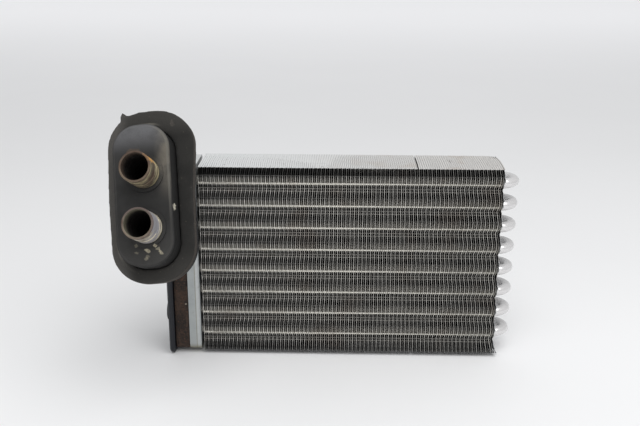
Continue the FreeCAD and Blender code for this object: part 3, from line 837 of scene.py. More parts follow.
@dataclass(frozen=True)
class SealFinish:
    """Fine closed foam: a charcoal face, a browner cut edge and a groove round the grommet, painted dark as
    shade, with a painted highlight on its outer rim, on the left and at the top.
    """

    effects: Effects
    face: Colour = (0.017, 0.0165, 0.0155)
    worn: Colour = (0.040, 0.038, 0.035)
    pale: Colour = (0.080, 0.076, 0.071)
    edge: Colour = (0.056, 0.049, 0.043)
    groove: Colour = (0.008, 0.008, 0.008)
    ridge_highlight: Colour = (0.17, 0.16, 0.14)
    speck: Colour = (0.14, 0.125, 0.10)
    scuff: Colour = (0.13, 0.115, 0.10)
    pit: Colour = (0.010, 0.009, 0.008)
    scuff_at: Pair = (18.9 * MM, 51.6 * MM)
    scuff_reach: Pair = (1.3 * MM, 2.6 * MM)

    def rings(self, graph: Graph, side: Socket, up: Socket) -> tuple[Socket, Socket]:
        """Mask the groove round the grommet, painted dark as shade, and the painted highlight on its outer
        rim, on the left and at the top.

        Args:
            graph: The material's graph.
            side: The coordinate across the flange.
            up: The coordinate up the flange.

        Returns:
            The groove's mask and the painted highlight's mask.
        """
        gap = Outline().distance(graph, side, up)
        crown = graph.times(graph.spread(up, 36.0 * MM, 45.0 * MM), graph.spread(side, 12.0 * MM, 0.0))
        lit_rim_share = graph.maths("MAXIMUM", graph.spread(side, -10.0 * MM, -17.0 * MM), crown)
        lit_rim_share = graph.times(lit_rim_share, graph.spread(up, -50.0 * MM, -32.0 * MM, 0.1, 1.0))
        groove = graph.band(gap, (1.2 * MM, 1.6 * MM), (2.8 * MM, 3.2 * MM))
        ridge_highlight = graph.band(gap, (3.0 * MM, 3.4 * MM), (4.4 * MM, 5.2 * MM))
        return graph.times(groove, lit_rim_share), graph.times(ridge_highlight, lit_rim_share)

    def material(self) -> bpy.types.Material:
        """Make the material of the oval gasket.

        Returns:
            The material.
        """
        material, graph, shader = new_material("gasket_foam")
        place = graph.place()
        side, up, out = graph.axes(graph.place(FLANGE))
        cells = graph.group(self.effects.grain, Place=place, Scale=1500.0)
        over = graph.spread(up, 38.0 * MM, 56.0 * MM)
        under = graph.spread(up, -36.0 * MM, -58.0 * MM, 0.0, 0.7)
        clouds = graph.spread(graph.noise(place, 60.0, 4.0), 0.35, 0.7, 0.0, 0.35)
        worn = graph.maths("MAXIMUM", graph.maths("MAXIMUM", over, under), clouds)
        face = graph.blend(worn, self.face, self.worn)
        face = graph.blend(graph.spread(side, -12.0 * MM, -23.0 * MM, 0.0, 0.85), face, self.pale)
        groove, ridge_highlight = self.rings(graph, side, up)
        # Painted shade in the groove and a painted highlight on its outer rim.
        face = graph.blend(groove, face, self.groove)
        face = graph.blend(graph.times(ridge_highlight, 0.8), face, self.ridge_highlight)
        colour = graph.blend(graph.spread(out, -2.4 * MM, -0.7 * MM, 1.0, 0.0), face, self.edge)
        specks = self.effects.dots(graph, place, 700.0, 0.05)
        colour = graph.blend(graph.times(specks, 0.3), colour, self.speck)
        scuff = graph.spot(side, up, self.scuff_at, self.scuff_reach, graph.noise(place, 420.0, 4.0))
        colour = graph.blend(graph.times(scuff, 0.2), colour, self.scuff)
        colour = graph.blend(graph.times(cells.outputs["Pits"], 0.35), colour, self.pit)
        graph.feed(shader.inputs["Base Color"], colour)
        shader.inputs["Roughness"].default_value = 0.95
        shader.inputs["Specular IOR Level"].default_value = 0.25
        height = graph.maths("SUBTRACT", cells.outputs["Height"], graph.times(groove, 2.0))
        rough_up(graph, shader, height, 0.16 * MM)
        return material


@dataclass(frozen=True)
class GrommetFinish:
    """Moulded rubber under uneven dust, with painted light on its top and right side, a painted highlight
    along its front edge, painted shade on its side wall, and scale crumbs under the lower stub.
    """

    effects: Effects
    colour: Colour = (0.0175, 0.017, 0.0165)
    lower: Colour = (0.030, 0.029, 0.0275)
    wall: Colour = (0.0105, 0.0103, 0.010)
    lit_dusty_top: Colour = (0.105, 0.105, 0.110)
    dust_and_light_right: Colour = (0.125, 0.113, 0.093)
    ochre: Colour = (0.13, 0.080, 0.042)
    brink_highlight: Colour = (0.12, 0.115, 0.10)
    scale: Colour = (0.42, 0.38, 0.28)
    chip: Colour = (0.52, 0.49, 0.40)
    pit: Colour = (0.012, 0.012, 0.012)
    ochre_at: Pair = (-6.5 * MM, 28.5 * MM)
    ochre_reach: Pair = (5.5 * MM, 3.2 * MM)
    chip_at: Pair = (-12.0 * MM, 11.0 * MM)
    chip_reach: Pair = (3.0 * MM, 3.8 * MM)
    crumb_reach: Pair = (1.4 * MM, 1.1 * MM)
    crumbs: tuple[tuple[float, float, float], ...] = (
        (0.2, -41.5, 0.75), (1.6, -42.4, 0.55), (6.7, -39.3, 0.65), (9.7, -43.0, 0.5), (10.8, -44.6, 0.4),
        (-0.2, -47.5, 0.25), (0.9, -46.0, 0.2), (-6.6, -38.0, 0.25), (-6.9, -42.8, 0.22), (8.4, -41.3, 0.35),
    )

    def dust(self, graph: Graph, side: Socket, up: Socket, out: Socket, front: Socket,
             uneven: Socket) -> Socket:
        """Colour the rubber and its dust: the lower end, the side wall in painted shade, and the top and
        right side, paler with dust and painted light.

        Args:
            graph: The material's graph.
            side: The coordinate across the flange.
            up: The coordinate up the flange.
            out: The coordinate out of the flange.
            front: The mask of the grommet's front face.
            uneven: The noise that makes the dust patchy.

        Returns:
            The colour's socket.
        """
        lower = graph.times(graph.spread(up, -20.0 * MM, -50.0 * MM), front)
        # Painted shade: the side wall facing right is darkened.
        wall = graph.times(graph.spread(out, 17.0 * MM, 15.0 * MM), graph.spread(side, 8.0 * MM, 16.0 * MM))
        colour = graph.blend(wall, graph.blend(lower, self.colour, self.lower), self.wall)
        # Dust and painted light on the top.
        high = graph.times(graph.spread(up, 24.0 * MM, 46.0 * MM), graph.spread(uneven, 0.2, 0.6, 0.55, 1.0))
        colour = graph.blend(graph.times(high, front), colour, self.lit_dusty_top)
        # Dust and painted light on the right side.
        right = graph.times(graph.spread(side, 8.0 * MM, 17.0 * MM), graph.spread(up, -12.0 * MM, 22.0 * MM))
        right = graph.times(right, graph.spread(uneven, 0.3, 0.6, 0.25, 1.0))
        colour = graph.blend(graph.times(right, front), colour, self.dust_and_light_right)
        near = graph.spot(side, up, self.ochre_at, self.ochre_reach, uneven)
        return graph.blend(graph.times(near, front, 0.3), colour, self.ochre)

    def material(self) -> bpy.types.Material:
        """Make the material of the grommet.

        Returns:
            The material.
        """
        material, graph, shader = new_material("grommet_rubber")
        place = graph.place()
        side, up, out = graph.axes(graph.place(FLANGE))
        uneven = graph.noise(place, 90.0, 5.0)
        ragged = graph.noise(place, 700.0, 4.0)
        front = graph.spread(out, 15.0 * MM, 17.5 * MM)
        colour = self.dust(graph, side, up, out, front, uneven)
        gap = Outline().distance(graph, side, up)
        # Painted highlight along the front edge, strongest at the right and the upper part.
        brink_highlight = graph.times(
            graph.band(gap, (-2.4 * MM, -1.6 * MM), (-0.9 * MM, -0.5 * MM)),
            graph.spread(side, 4.0 * MM, 16.0 * MM, 0.10, 0.55),
            graph.spread(up, -30.0 * MM, 10.0 * MM, 0.15, 1.0),
            graph.spread(out, 13.0 * MM, 16.0 * MM),
        )
        colour = graph.blend(brink_highlight, colour, self.brink_highlight)
        for across, height, share in self.crumbs:
            spot = graph.spot(side, up, (across * MM, height * MM), self.crumb_reach, ragged)
            colour = graph.blend(graph.times(spot, front, share), colour, self.scale)
        chip = graph.spot(up, out, self.chip_at, self.chip_reach, graph.noise(place, 330.0, 1.0))
        colour = graph.blend(graph.times(chip, graph.spread(side, 17.0 * MM, 18.0 * MM)), colour, self.chip)
        grain = graph.group(self.effects.grain, Place=place, Scale=1300.0)
        colour = graph.blend(graph.times(grain.outputs["Pits"], 0.25), colour, self.pit)
        graph.feed(shader.inputs["Base Color"], colour)
        graph.feed(shader.inputs["Roughness"], graph.spread(uneven, 0.3, 0.7, 0.60, 0.80))
        shader.inputs["Specular IOR Level"].default_value = 0.3
        rough_up(graph, shader, grain.outputs["Height"], 0.06 * MM)
        return material


@dataclass(frozen=True)
class PipeFinish:
    """Stained metal stub: brown lip, a bore in painted shade that lifts to painted light at its mouth, and
    scale in rings towards its root.
    """

    side: float
    lift: float
    name: str
    metal: Colour
    crust: Colour
    patch: Colour
    patch_at: Pair
    patch_reach: Pair
    lit_bore_mouth: Colour
    lip: Colour = (0.075, 0.046, 0.032)
    bore: Colour = (0.010, 0.008, 0.007)
    tip: float = 42.5 * MM
    bore_radius: float = 9.4 * MM

    def material(self) -> bpy.types.Material:
        """Make the material of a stub.

        Returns:
            The material.
        """
        material, graph, shader = new_material(self.name)
        centred = FLANGE @ Matrix.Translation((self.side, self.lift, 0.0))
        place = graph.place()
        across, up, out = graph.axes(graph.place(centred))
        radius = graph.length(across, up)
        patchy = graph.noise(place, 260.0, 5.0)
        broad = graph.noise(place, 95.0, 4.0)
        rings = graph.noise(graph.place(centred, (0.12, 0.12, 1.0)), 420.0, 4.0)
        colour = graph.blend(graph.spread(rings, 0.42, 0.62), self.metal, self.crust)
        colour = graph.blend(graph.spread(broad, 0.50, 0.64, 0.0, 0.8), colour, self.lip)
        spot = graph.spot(across, up, self.patch_at, self.patch_reach, patchy)
        colour = graph.blend(graph.times(spot, graph.spread(out, 25.0 * MM, 27.5 * MM)), colour, self.patch)
        near_lip = graph.spread(out, self.tip - 2.2 * MM, self.tip - 0.9 * MM)
        colour = graph.blend(graph.times(near_lip, 0.85), colour, self.lip)
        # Painted shade deep in the bore, lifting to painted light at its mouth.
        hole = graph.spread(radius, self.bore_radius + 0.35 * MM, self.bore_radius + 0.15 * MM)
        deep = graph.spread(out, self.tip - 10.0 * MM, self.tip - 1.5 * MM)
        colour = graph.blend(hole, colour, graph.blend(deep, self.bore, self.lit_bore_mouth))
        graph.feed(shader.inputs["Base Color"], colour)
        graph.feed(shader.inputs["Metallic"], graph.times(graph.spread(rings, 0.62, 0.42), 0.35))
        graph.feed(shader.inputs["Roughness"], graph.spread(patchy, 0.3, 0.7, 0.55, 0.85))
        rough_up(graph, shader, graph.maths("ADD", patchy, rings), 0.22 * MM)
        return material


def new_piece(
    mesh_source: bmesh.types.BMesh,
    name: str,
    material: bpy.types.Material,
    nodes: tuple[str, ...] = (),
    crease: float = 40.0,
) -> bpy.types.Object:
    """Write a mesh as a piece that rides on the part.

    Args:
        mesh_source: The bmesh, which is freed.
        name: The piece's name.
        material: Its material.
        nodes: The nodes that it stands for.
        crease: The angle in degrees past which an edge stays sharp.

    Returns:
        The piece.
    """
    mesh = bpy.data.meshes.new(name)
    mesh_source.to_mesh(mesh)
    mesh_source.free()
    mesh.shade_smooth()
    mesh.set_sharp_from_angle(angle=math.radians(crease))
    mesh.materials.append(material)
    piece = bpy.data.objects.new(name, mesh)
    bpy.context.scene.collection.objects.link(piece)
    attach(piece, BODY)
    if nodes:
        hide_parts(*nodes)
    LOG.info("%s: %d faces", name, len(mesh.polygons))
    return piece


def dress_node(node: str, material: bpy.types.Material) -> None:
    """Give a solid of the model its material.

    Args:
        node: The node's name.
        material: The material.
    """
    shown = frame["nodes"][node]
    if not shown.material_slots:
        shown.data.materials.append(material)
    for slot in shown.material_slots:
        slot.material = material
    LOG.info("%s: dressed", node)


def face_outwards(source: bmesh.types.BMesh) -> None:
    """Turn a closed mesh's faces outwards."""
    bmesh.ops.recalc_face_normals(source, faces=source.faces)
    if source.calc_volume(signed=True) < 0.0:
        bmesh.ops.reverse_faces(source, faces=source.faces)


def soften(source: bmesh.types.BMesh, verts: object, rounds: int) -> None:
    """Smooth some of a mesh's corners a number of times."""
    for _ in range(rounds):
        bmesh.ops.smooth_vert(source, verts=verts, factor=0.5, use_axis_x=True, use_axis_y=True,
                              use_axis_z=True)


def new_corners(made: list[object]) -> list[bmesh.types.BMVert]:
    """Pick the corners out of what an extrusion made."""
    return [item for item in made if isinstance(item, bmesh.types.BMVert)]


@dataclass
class FinBlock:
    """The stack of thin fins, two for each of the solids' fins, with folded lips and lanced spacers."""

    fin_count: int = 72
    fin_space: float = 0.2 * MM
    lip_gap: float = 0.12 * MM
    thick: float = 0.30 * MM
    thin: float = 0.15 * MM
    hole_radius: float = 4.1 * MM
    column_reach: float = 5.25 * MM
    row_reach: float = 4.35 * MM
    front_lift: float = 2.55 * MM
    lean: float = 1.0 * MM
    held_share: float = 0.85
    bow: float = 1.7 * MM
    wander: float = 0.26 * MM
    spacer_heights: tuple[float, ...] = (7.0 * MM, -3.2 * MM, -5.5 * MM)
    spacer_depth: float = 1.4 * MM
    spacer_width: float = 1.1 * MM
    spacer_thickness: float = 0.30 * MM
    collar_height: float = 0.75 * MM
    collar_thickness: float = 1.5 * MM
    end_fin_place: float = 0.40 * MM
    end_fin_wave: float = 0.55 * MM
    end_fin_pleat: float = 5.3 * MM
    gap_at: float = 74.0 * MM
    gap_width: float = 0.9 * MM
    ragged: float = 0.05 * MM
    dent_at: Pair = (100.5 * MM, 56.0 * MM)
    dent_reach: float = 3.0 * MM
    dent_depth: float = 0.8 * MM
    corner_reach: float = 9.0 * MM
    corner_drop: float = 1.0 * MM
    corner_roll: float = 0.25 * MM
    flare: float = 2.4 * MM
    flare_reach: float = 16.0 * MM
    straight_reach: float = 14.0 * MM
    bow_reach: float = 15.0 * MM
    rim_reach: float = 6.0 * MM
    spacer_space: float = 0.3 * MM
    end_fin_tone: float = 0.6

    def __post_init__(self) -> None:
        """Read the block's limits and its tube rows from the frame."""
        self.low, self.high = corners("fins")
        self.pitch = (self.high.x - self.low.x + self.fin_space) / self.fin_count
        self.half = self.pitch / 2
        self.middle = (self.low.y + self.high.y) / 2
        rows = [corners(f"hairpin_tube_{row}") for row in ROWS]
        self.row_heights = sorted((low.z + high.z) / 2 for low, high in rows)
        self.row_pitch = self.row_heights[1] - self.row_heights[0]
        self.columns = (rows[0][0].y + TUBE_RADIUS, rows[0][1].y - TUBE_RADIUS)
        self.lots = random.Random(SEED)

    def lines(self) -> tuple[list[float], list[float]]:
        """Give the grid's lines across the depth and up the height, with one through each tube's centre."""
        across = [self.low.y, self.high.y]
        for column in self.columns:
            across += [column - self.column_reach, column, column + self.column_reach]
        up = [self.low.z, self.high.z]
        for height in self.row_heights:
            up += [height - self.row_reach, height, height + self.row_reach]
        return sorted(across), sorted(up)

    def bend(self, along: float, across: float, up: float) -> float:
        """Give how far a fin is pushed along the block at a point of it.

        Args:
            along: The fin's place.
            across: The point's place in the depth.
            up: The point's height.

        Returns:
            The push in metres.
        """
        middle = self.middle
        deep = self.high.y - middle
        outer = smooth_step(0.2, 1.0, abs(across - middle) / deep)
        share = (along - self.low.x) / (self.high.x - self.low.x)
        front = smooth_step(middle, self.low.y, across)
        phase = (up - self.row_heights[0] - self.front_lift * front) / self.row_pitch
        held = self.held_share * front if abs(phase - round(phase)) < 0.02 else 0.0
        straight = smooth_step(self.low.x, self.low.x + self.straight_reach, along)
        slant = (math.sin(2.0 * math.pi * phase) + held) * (0.55 - share) * 2.0 * straight
        drift = noise.noise(Vector((along * 26.0, across * 18.0, up * 46.0)))
        ripple = noise.noise(Vector((along * 140.0, across * 30.0 + 5.0, up * 110.0)))
        push = -slant * self.lean + drift * self.wander + ripple * self.wander * 0.6
        corner = smooth_step(self.high.x - self.flare_reach, self.high.x, along)
        corner *= smooth_step(self.low.z + self.flare_reach, self.low.z, up)
        inner = smooth_step(0.0, self.rim_reach, min(self.high.z - up, up - self.low.z))
        bow = self.bow * smooth_step(deep, deep - self.bow_reach, abs(across - middle))
        return push * outer + inner * bow + corner * self.flare * front

    def sheet(self, source: bmesh.types.BMesh, along: float, lip: float,
              tone: float) -> list[bmesh.types.BMFace]:
        """Add one fin as a sheet with round holes and folded lips.

        Args:
            source: The mesh to add to.
            along: The fin's place.
            lip: How far its folded edges reach towards the next fin.
            tone: How bright its edges are, within 0 and 1.

        Returns:
            The fin's faces.
        """
        across, up = self.lines()
        wide, tall = len(across) - 1, len(up) - 1
        grid = bmesh.ops.create_grid(source, x_segments=wide, y_segments=tall, size=0.5)["verts"]
        layer = source.verts.layers.float["tone"]
        points = {(round((vertex.co.x + 0.5) * wide), round((vertex.co.y + 0.5) * tall)): vertex
                  for vertex in grid}
        for (column, row), vertex in points.items():
            raised = self.front_lift if column == 0 and 0 < row < tall else 0.0
            vertex.co = Vector((along, across[column], up[row] + raised))
        holes = [points[(across.index(y), up.index(z))] for y in self.columns for z in self.row_heights]
        for centre in holes:
            ring = {corner for face in centre.link_faces for corner in face.verts if corner is not centre}
            for vertex in ring:
                away = vertex.co - centre.co
                turn = round(math.atan2(away.z, away.y) / (math.pi / 4)) * (math.pi / 4)
                vertex.co.y = centre.co.y + self.hole_radius * math.cos(turn)
                vertex.co.z = centre.co.z + self.hole_radius * math.sin(turn)
        bmesh.ops.delete(source, geom=holes, context="VERTS")
        fin = [vertex for vertex in grid if vertex.is_valid]
        for vertex in fin:
            vertex.co.x += self.bend(along, vertex.co.y, vertex.co.z)
            vertex[layer] = tone
        faces = list({face for vertex in fin for face in vertex.link_faces})
        for height in (self.high.z, self.low.z):
            edges = [edge for edge in {e for v in fin for e in v.link_edges}
                     if all(abs(vertex.co.z - height) < 0.01 * MM for vertex in edge.verts)]
            folded = bmesh.ops.extrude_edge_only(source, edges=edges)["geom"]
            for vertex in new_corners(folded):
                vertex.co.x += self.lip_reach(along, vertex.co.y, lip)
                vertex[layer] = tone
                if height == self.high.z:
                    self.mar(vertex, along)
            faces += [item for item in folded if isinstance(item, bmesh.types.BMFace)]
        return faces

    def lip_reach(self, along: float, across: float, lip: float) -> float:
        """Shorten a lip a little at random, and a lot along the open gap in the top.

        Args:
            along: The fin's place.
            across: The point's place in the depth.
            lip: The lip's full reach.

        Returns:
            The reach in metres.
        """
        wide = self.gap_width if 0.0 <= self.gap_at - along < self.half else 0.0
        uneven = (noise.noise(Vector((along * 900.0, across * 90.0, 3.0))) + 1.0) * self.ragged
        return lip - wide - uneven

    def mar(self, vertex: bmesh.types.BMVert, along: float) -> None:
        """Push the top's lips down at the dent and at the back corner by the bends.

        Args:
            vertex: The lip's outer corner, moved in place.
            along: The fin's place.
        """
        away = math.hypot(along - self.dent_at[0], (vertex.co.y - self.dent_at[1]) * 0.4)
        vertex.co.z -= self.dent_depth * smooth_step(self.dent_reach, 0.0, away)
        corner = smooth_step(self.high.x - self.corner_reach, self.high.x, along)
        corner *= smooth_step(self.high.y - self.corner_reach, self.high.y, vertex.co.y)
        vertex.co.z -= self.corner_drop * corner
        vertex.co.x -= self.corner_roll * corner

    def stack(self) -> bmesh.types.BMesh:
        """Make all the fins.

        Returns:
            The mesh of closed fins.
        """
        source = bmesh.new()
        source.verts.layers.float.new("tone")
        for number in range(self.fin_count * 2):
            main = number % 2 == 0
            along = self.low.x + number * self.half
            tone = self.lots.uniform(0.75, 1.0) if main else self.lots.uniform(0.0, 0.35)
            lip = min(self.half - self.lip_gap, self.high.x - along)
            faces = self.sheet(source, along, lip, tone)
            bmesh.ops.recalc_face_normals(source, faces=faces)
            bmesh.ops.solidify(source, geom=faces, thickness=self.thick if main else self.thin)
        self.keep_inside(source)
        return source

    def keep_inside(self, source: bmesh.types.BMesh) -> None:
        """Hold every corner within the block's own limits in height and depth."""
        for vertex in source.verts:
            vertex.co.y = min(max(vertex.co.y, self.low.y), self.high.y)
            vertex.co.z = min(max(vertex.co.z, self.low.z), self.high.z)

    def spacer_sizes(self, along: float) -> list[Pair]:
        """Give each spacer's height over its tube row and its thickness at a place along the block.

        Args:
            along: The place.

        Returns:
            The heights and thicknesses, in metres.
        """
        # The collar bars stand for the fins' collars round each tube and sit in the faces' painted highlight
        # band, so they show the tube's highlight; they thin towards the bends.
        share = smooth_step(self.low.x + 60.0 * MM, self.high.x, along)
        collar = self.collar_thickness * (1.0 - 0.55 * share)
        plain = [(height, self.spacer_thickness) for height in self.spacer_heights]
        return plain + [(self.collar_height, collar)]

    def spacers(self, side: float) -> bmesh.types.BMesh:
        """Make the lanced spacers that hold each fin off the next, above and below each tube row.

        Args:
            side: 1 for the front face and -1 for the back one.

        Returns:
            The mesh of spacers.
        """
        source = bmesh.new()
        layer = source.verts.layers.float.new("tone")
        face = self.low.y if side > 0.0 else self.high.y
        across = face + side * (self.spacer_depth + self.spacer_width / 2)
        for number in range(self.fin_count * 2 - 1):
            along = self.low.x + (number + 0.5) * self.half
            for row in self.row_heights:
                for height, thickness in self.spacer_sizes(along):
                    up = row + height
                    size = Matrix.Diagonal((self.half - self.spacer_space, self.spacer_width, thickness, 1.0))
                    spot = Vector((along + self.bend(along, across, up), across, up))
                    cube = bmesh.ops.create_cube(source, size=1.0, matrix=Matrix.Translation(spot) @ size)
                    for vertex in cube["verts"]:
                        vertex[layer] = 1.0
        return source

    def end_fin(self) -> bmesh.types.BMesh:
        """Make the last fin, pleated along its open edges, which the tube bends stand out of.

        Returns:
            The closed mesh.
        """
        source = bmesh.new()
        layer = source.verts.layers.float.new("tone")
        along = self.high.x + self.end_fin_place
        self.sheet(source, along, self.thick * 3.0, self.end_fin_tone)
        bmesh.ops.subdivide_edges(source, edges=list(source.edges), cuts=5, use_grid_fill=True)
        for vertex in source.verts:
            turn = vertex.co.z / self.end_fin_pleat
            wave = 2.0 * abs(2.0 * (turn - math.floor(turn + 0.5))) - 1.0
            uneven = 0.6 + 0.6 * noise.noise(Vector((3.0, vertex.co.y * 20.0, vertex.co.z * 90.0)))
            away = abs(vertex.co.y - self.middle) / (self.high.y - self.middle)
            vertex.co.x += self.end_fin_wave * wave * uneven * smooth_step(0.45, 1.0, away)
            vertex[layer] = self.end_fin_tone
        bmesh.ops.recalc_face_normals(source, faces=source.faces)
        bmesh.ops.solidify(source, geom=list(source.faces), thickness=self.thin)
        self.keep_inside(source)
        return source

    def build(self, effects: Effects) -> None:
        """Build the fins and their spacers.

        Args:
            effects: The shared groups.
        """
        material = FinFinish(effects, self.row_heights[0], self.row_pitch, self.gap_at).material()
        new_piece(self.stack(), "fin_stack", material, ("fins",), 30.0)
        new_piece(self.spacers(1.0), "front_spacers", material)
        new_piece(self.spacers(-1.0), "back_spacers", material)
        new_piece(self.end_fin(), "end_fin", material, ("outer_end_fin",), 30.0)


@dataclass
class HairpinTubes:
    """Eight tubes, each drawn smooth and bent back on itself."""

    radius: float = TUBE_RADIUS
    wall: float = 0.5 * MM
    sides: int = 32
    bend_steps: int = 28
    bore_depth: float = 40.0 * MM
    bend_start: float = 141.94 * MM

    def tube(self, node: str) -> bmesh.types.BMesh:
        """Make one hairpin.

        Args:
            node: The node that gives its place.

        Returns:
            The closed mesh.
        """
        low, high = corners(node)
        height = (low.z + high.z) / 2
        middle = (low.y + high.y) / 2
        arm = (high.y - low.y) / 2 - self.radius
        source = bmesh.new()
        spot = Matrix.Translation((self.bend_start, middle - arm, height))
        spot = spot @ Matrix.Rotation(math.pi / 2, 4, "Y")
        bmesh.ops.create_circle(source, cap_ends=False, segments=self.sides, radius=self.radius, matrix=spot)
        ring = list(source.verts) + list(source.edges)
        bmesh.ops.spin(source, geom=ring, cent=(self.bend_start, middle, height), axis=(0, 0, 1),
                       angle=math.pi, steps=self.bend_steps, use_duplicate=False)
        reach = (high.x - self.bend_start) / (arm + self.radius)
        for vertex in source.verts:
            vertex.co.x = self.bend_start + (vertex.co.x - self.bend_start) * reach
        ends = [edge for edge in source.edges if edge.is_boundary]
        legs = bmesh.ops.extrude_edge_only(source, edges=ends)["geom"]
        for vertex in new_corners(legs):
            vertex.co.x = low.x
        ends = [edge for edge in source.edges if edge.is_boundary]
        mouths = bmesh.ops.edgeloop_fill(source, edges=ends)["faces"]
        face_outwards(source)
        bmesh.ops.inset_individual(source, faces=mouths, thickness=self.wall, use_even_offset=True)
        bore = bmesh.ops.extrude_discrete_faces(source, faces=mouths)["faces"]
        for face in bore:
            for vertex in face.verts:
                vertex.co.x += self.bore_depth
        return source

    def build(self) -> None:
        """Build the eight hairpins."""
        material = TubeFinish().material()
        for row in ROWS:
            node = f"hairpin_tube_{row}"
            new_piece(self.tube(node), f"hairpin_{row}", material, (node,))


@dataclass
class FoamPiece:
    """A foam piece, softened and pitted from its own solid."""

    node: str
    name: str
    slot: Slot
    cell: float
    rounds: int
    pit_depth: float
    pit_scale: float
    fill: float

    def mesh(self) -> bmesh.types.BMesh:
        """Remesh the solid evenly, soften its edges and pit its skin.

        Returns:
            The closed mesh.
        """
        merged = bmesh.new()
        merged.from_mesh(frame["nodes"][self.node].data)
        bmesh.ops.remove_doubles(merged, verts=merged.verts, dist=0.002 * MM)
        data = bpy.data.meshes.new(self.name + "_core")
        merged.to_mesh(data)
        merged.free()
        core = bpy.data.objects.new(self.name + "_core", data)
        bpy.context.scene.collection.objects.link(core)
        remesh = core.modifiers.new("cells", "REMESH")
        remesh.mode = "VOXEL"
        remesh.voxel_size = self.cell
        shaped = core.evaluated_get(bpy.context.evaluated_depsgraph_get())
        source = bmesh.new()
        source.from_mesh(shaped.to_mesh())
        shaped.to_mesh_clear()
        bpy.data.objects.remove(core)
        bpy.data.meshes.remove(data)
        soften(source, source.verts, self.rounds)
        self.shape(source)
        source.normal_update()
        for vertex in source.verts:
            pit = noise.noise(vertex.co * self.pit_scale)
            pit += 0.5 * noise.noise(vertex.co * self.pit_scale * 2.3)
            vertex.co -= vertex.normal * self.pit_depth * smooth_step(-0.1, 0.9, pit)
        return source

    def shape(self, source: bmesh.types.BMesh) -> None:
        """Change the softened form further, which a plain foam piece doesn't need."""

    def build(self, material: bpy.types.Material) -> None:
        """Args:
            material: Its material.
        """
        piece = new_piece(self.mesh(), self.name, material, (self.node,), 180.0)


@dataclass
class FlangeSeal(FoamPiece):
    """The oval gasket, a little wider at its top right, with a blunt nub."""

    hold: Pair = (0.5 * MM, 7.0 * MM)
    upper: Pair = (-10.0 * MM, 45.0 * MM)
    lower: Pair = (0.0, -35.0 * MM)
    slide: float = 2.0 * MM
    widen: float = 0.035
    narrow: float = 0.02
    nub_rounds: int = 5
    nub_low: float = 57.0 * MM
    nub_side: float = -9.0 * MM
    nub_reach: float = 0.8 * MM
    nub_middle: float = -17.6 * MM
    nub_widen: float = 0.45
    nub_rise: Pair = (56.5 * MM, 61.0 * MM)
    nub_start: Pair = (-10.5 * MM, -14.0 * MM)

    def shape(self, source: bmesh.types.BMesh) -> None:
        """Blunt the nub, and let the outer rim follow the photograph.

        Args:
            source: The mesh, changed in place.
        """
        back = FLANGE.inverted()
        nub = [vertex for vertex in source.verts if self.at_nub(back @ vertex.co)]
        soften(source, nub, self.nub_rounds)
        for vertex in source.verts:
            local = back @ vertex.co
            free = smooth_step(*self.hold, Outline().gap(local.x, local.y))
            upper = smooth_step(*self.upper, local.y)
            lower = smooth_step(*self.lower, local.y)
            push = local.x * (self.widen * upper - self.narrow * lower) + self.slide * upper
            tip = smooth_step(*self.nub_rise, local.y) * smooth_step(*self.nub_start, local.x)
            spread = (local.x - self.nub_middle) * self.nub_widen * tip
            moved = Vector((local.x + push * free + spread, local.y + self.nub_reach * tip, local.z))
            vertex.co = FLANGE @ moved

    def at_nub(self, local: Vector) -> bool:
        """Say whether a point in the flange's frame is on the nub."""
        return local.y > self.nub_low and local.x < self.nub_side


@dataclass
class PipeStub:
    """One stained stub, spun round its own axis in the flange's frame."""

    node: str
    name: str
    side: float
    lift: float
    radius: float = 11.0 * MM
    bore: float = 9.4 * MM
    foot: float = -27.8 * MM
    tip: float = 42.5 * MM
    edge: float = 0.5 * MM
    edge_steps: int = 8
    neck: float = 5.0 * MM
    grooves: Pair = (30.5 * MM, 26.5 * MM)
    groove_width: float = 1.4 * MM
    groove_depth: float = 0.5 * MM
    groove_slope: float = 0.35 * MM
    rests: Pair = (22.0 * MM, 18.0 * MM)
    steps: int = 72
    scale_depth: float = 0.22 * MM

    def outline(self) -> list[Pair]:
        """Draw half the wall's section, from the bore's foot round to the outer foot.

        Returns:
            The section's corners as radius and height, in metres.
        """
        shoulder = self.tip - self.edge
        rim = [(self.bore, self.foot), (self.bore, shoulder)]
        middle = (self.bore + self.radius) / 2
        half = (self.radius - self.bore) / 2
        for step in range(1, self.edge_steps):
            turn = math.pi * (1.0 - step / self.edge_steps)
            rim.append((middle + half * math.cos(turn), shoulder + self.edge * math.sin(turn)))
        rim += [(self.radius, shoulder), (self.radius, self.grooves[0] + self.neck)]
        inner = self.radius - self.groove_depth
        for top in self.grooves:
            low = top - self.groove_width
            rim += [(self.radius, top), (inner, top - self.groove_slope), (inner, low + self.groove_slope),
                    (self.radius, low)]
        return rim + [(self.radius, height) for height in (*self.rests, self.foot)]

    def build(self, material: bpy.types.Material) -> None:
        """Spin the wall and roughen its outside with scale.

        Args:
            material: Its material.
        """
        source = bmesh.new()
        rim = [source.verts.new((radius, 0.0, height)) for radius, height in self.outline()]
        loop = [source.edges.new((first, second)) for first, second in zip(rim, rim[1:] + rim[:1])]
        bmesh.ops.spin(source, geom=rim + loop, cent=(0, 0, 0), axis=(0, 0, 1), angle=2 * math.pi,
                       steps=self.steps, use_merge=True)
        bmesh.ops.remove_doubles(source, verts=source.verts, dist=0.001 * MM)
        face_outwards(source)
        for vertex in source.verts:
            out = Vector((vertex.co.x, vertex.co.y, 0.0))
            if out.length > self.bore + 0.6 * MM and vertex.co.z < self.tip - 1.0 * MM:
                rough = noise.noise(Vector((vertex.co.x * 160, vertex.co.y * 160, vertex.co.z * 420)))
                vertex.co -= out.normalized() * self.scale_depth * smooth_step(-0.3, 0.8, rough)
        spot = FLANGE @ Matrix.Translation((self.side, self.lift, 0.0))
        bmesh.ops.transform(source, matrix=spot, verts=source.verts)
        new_piece(source, self.name, material, (self.node,), 50.0)


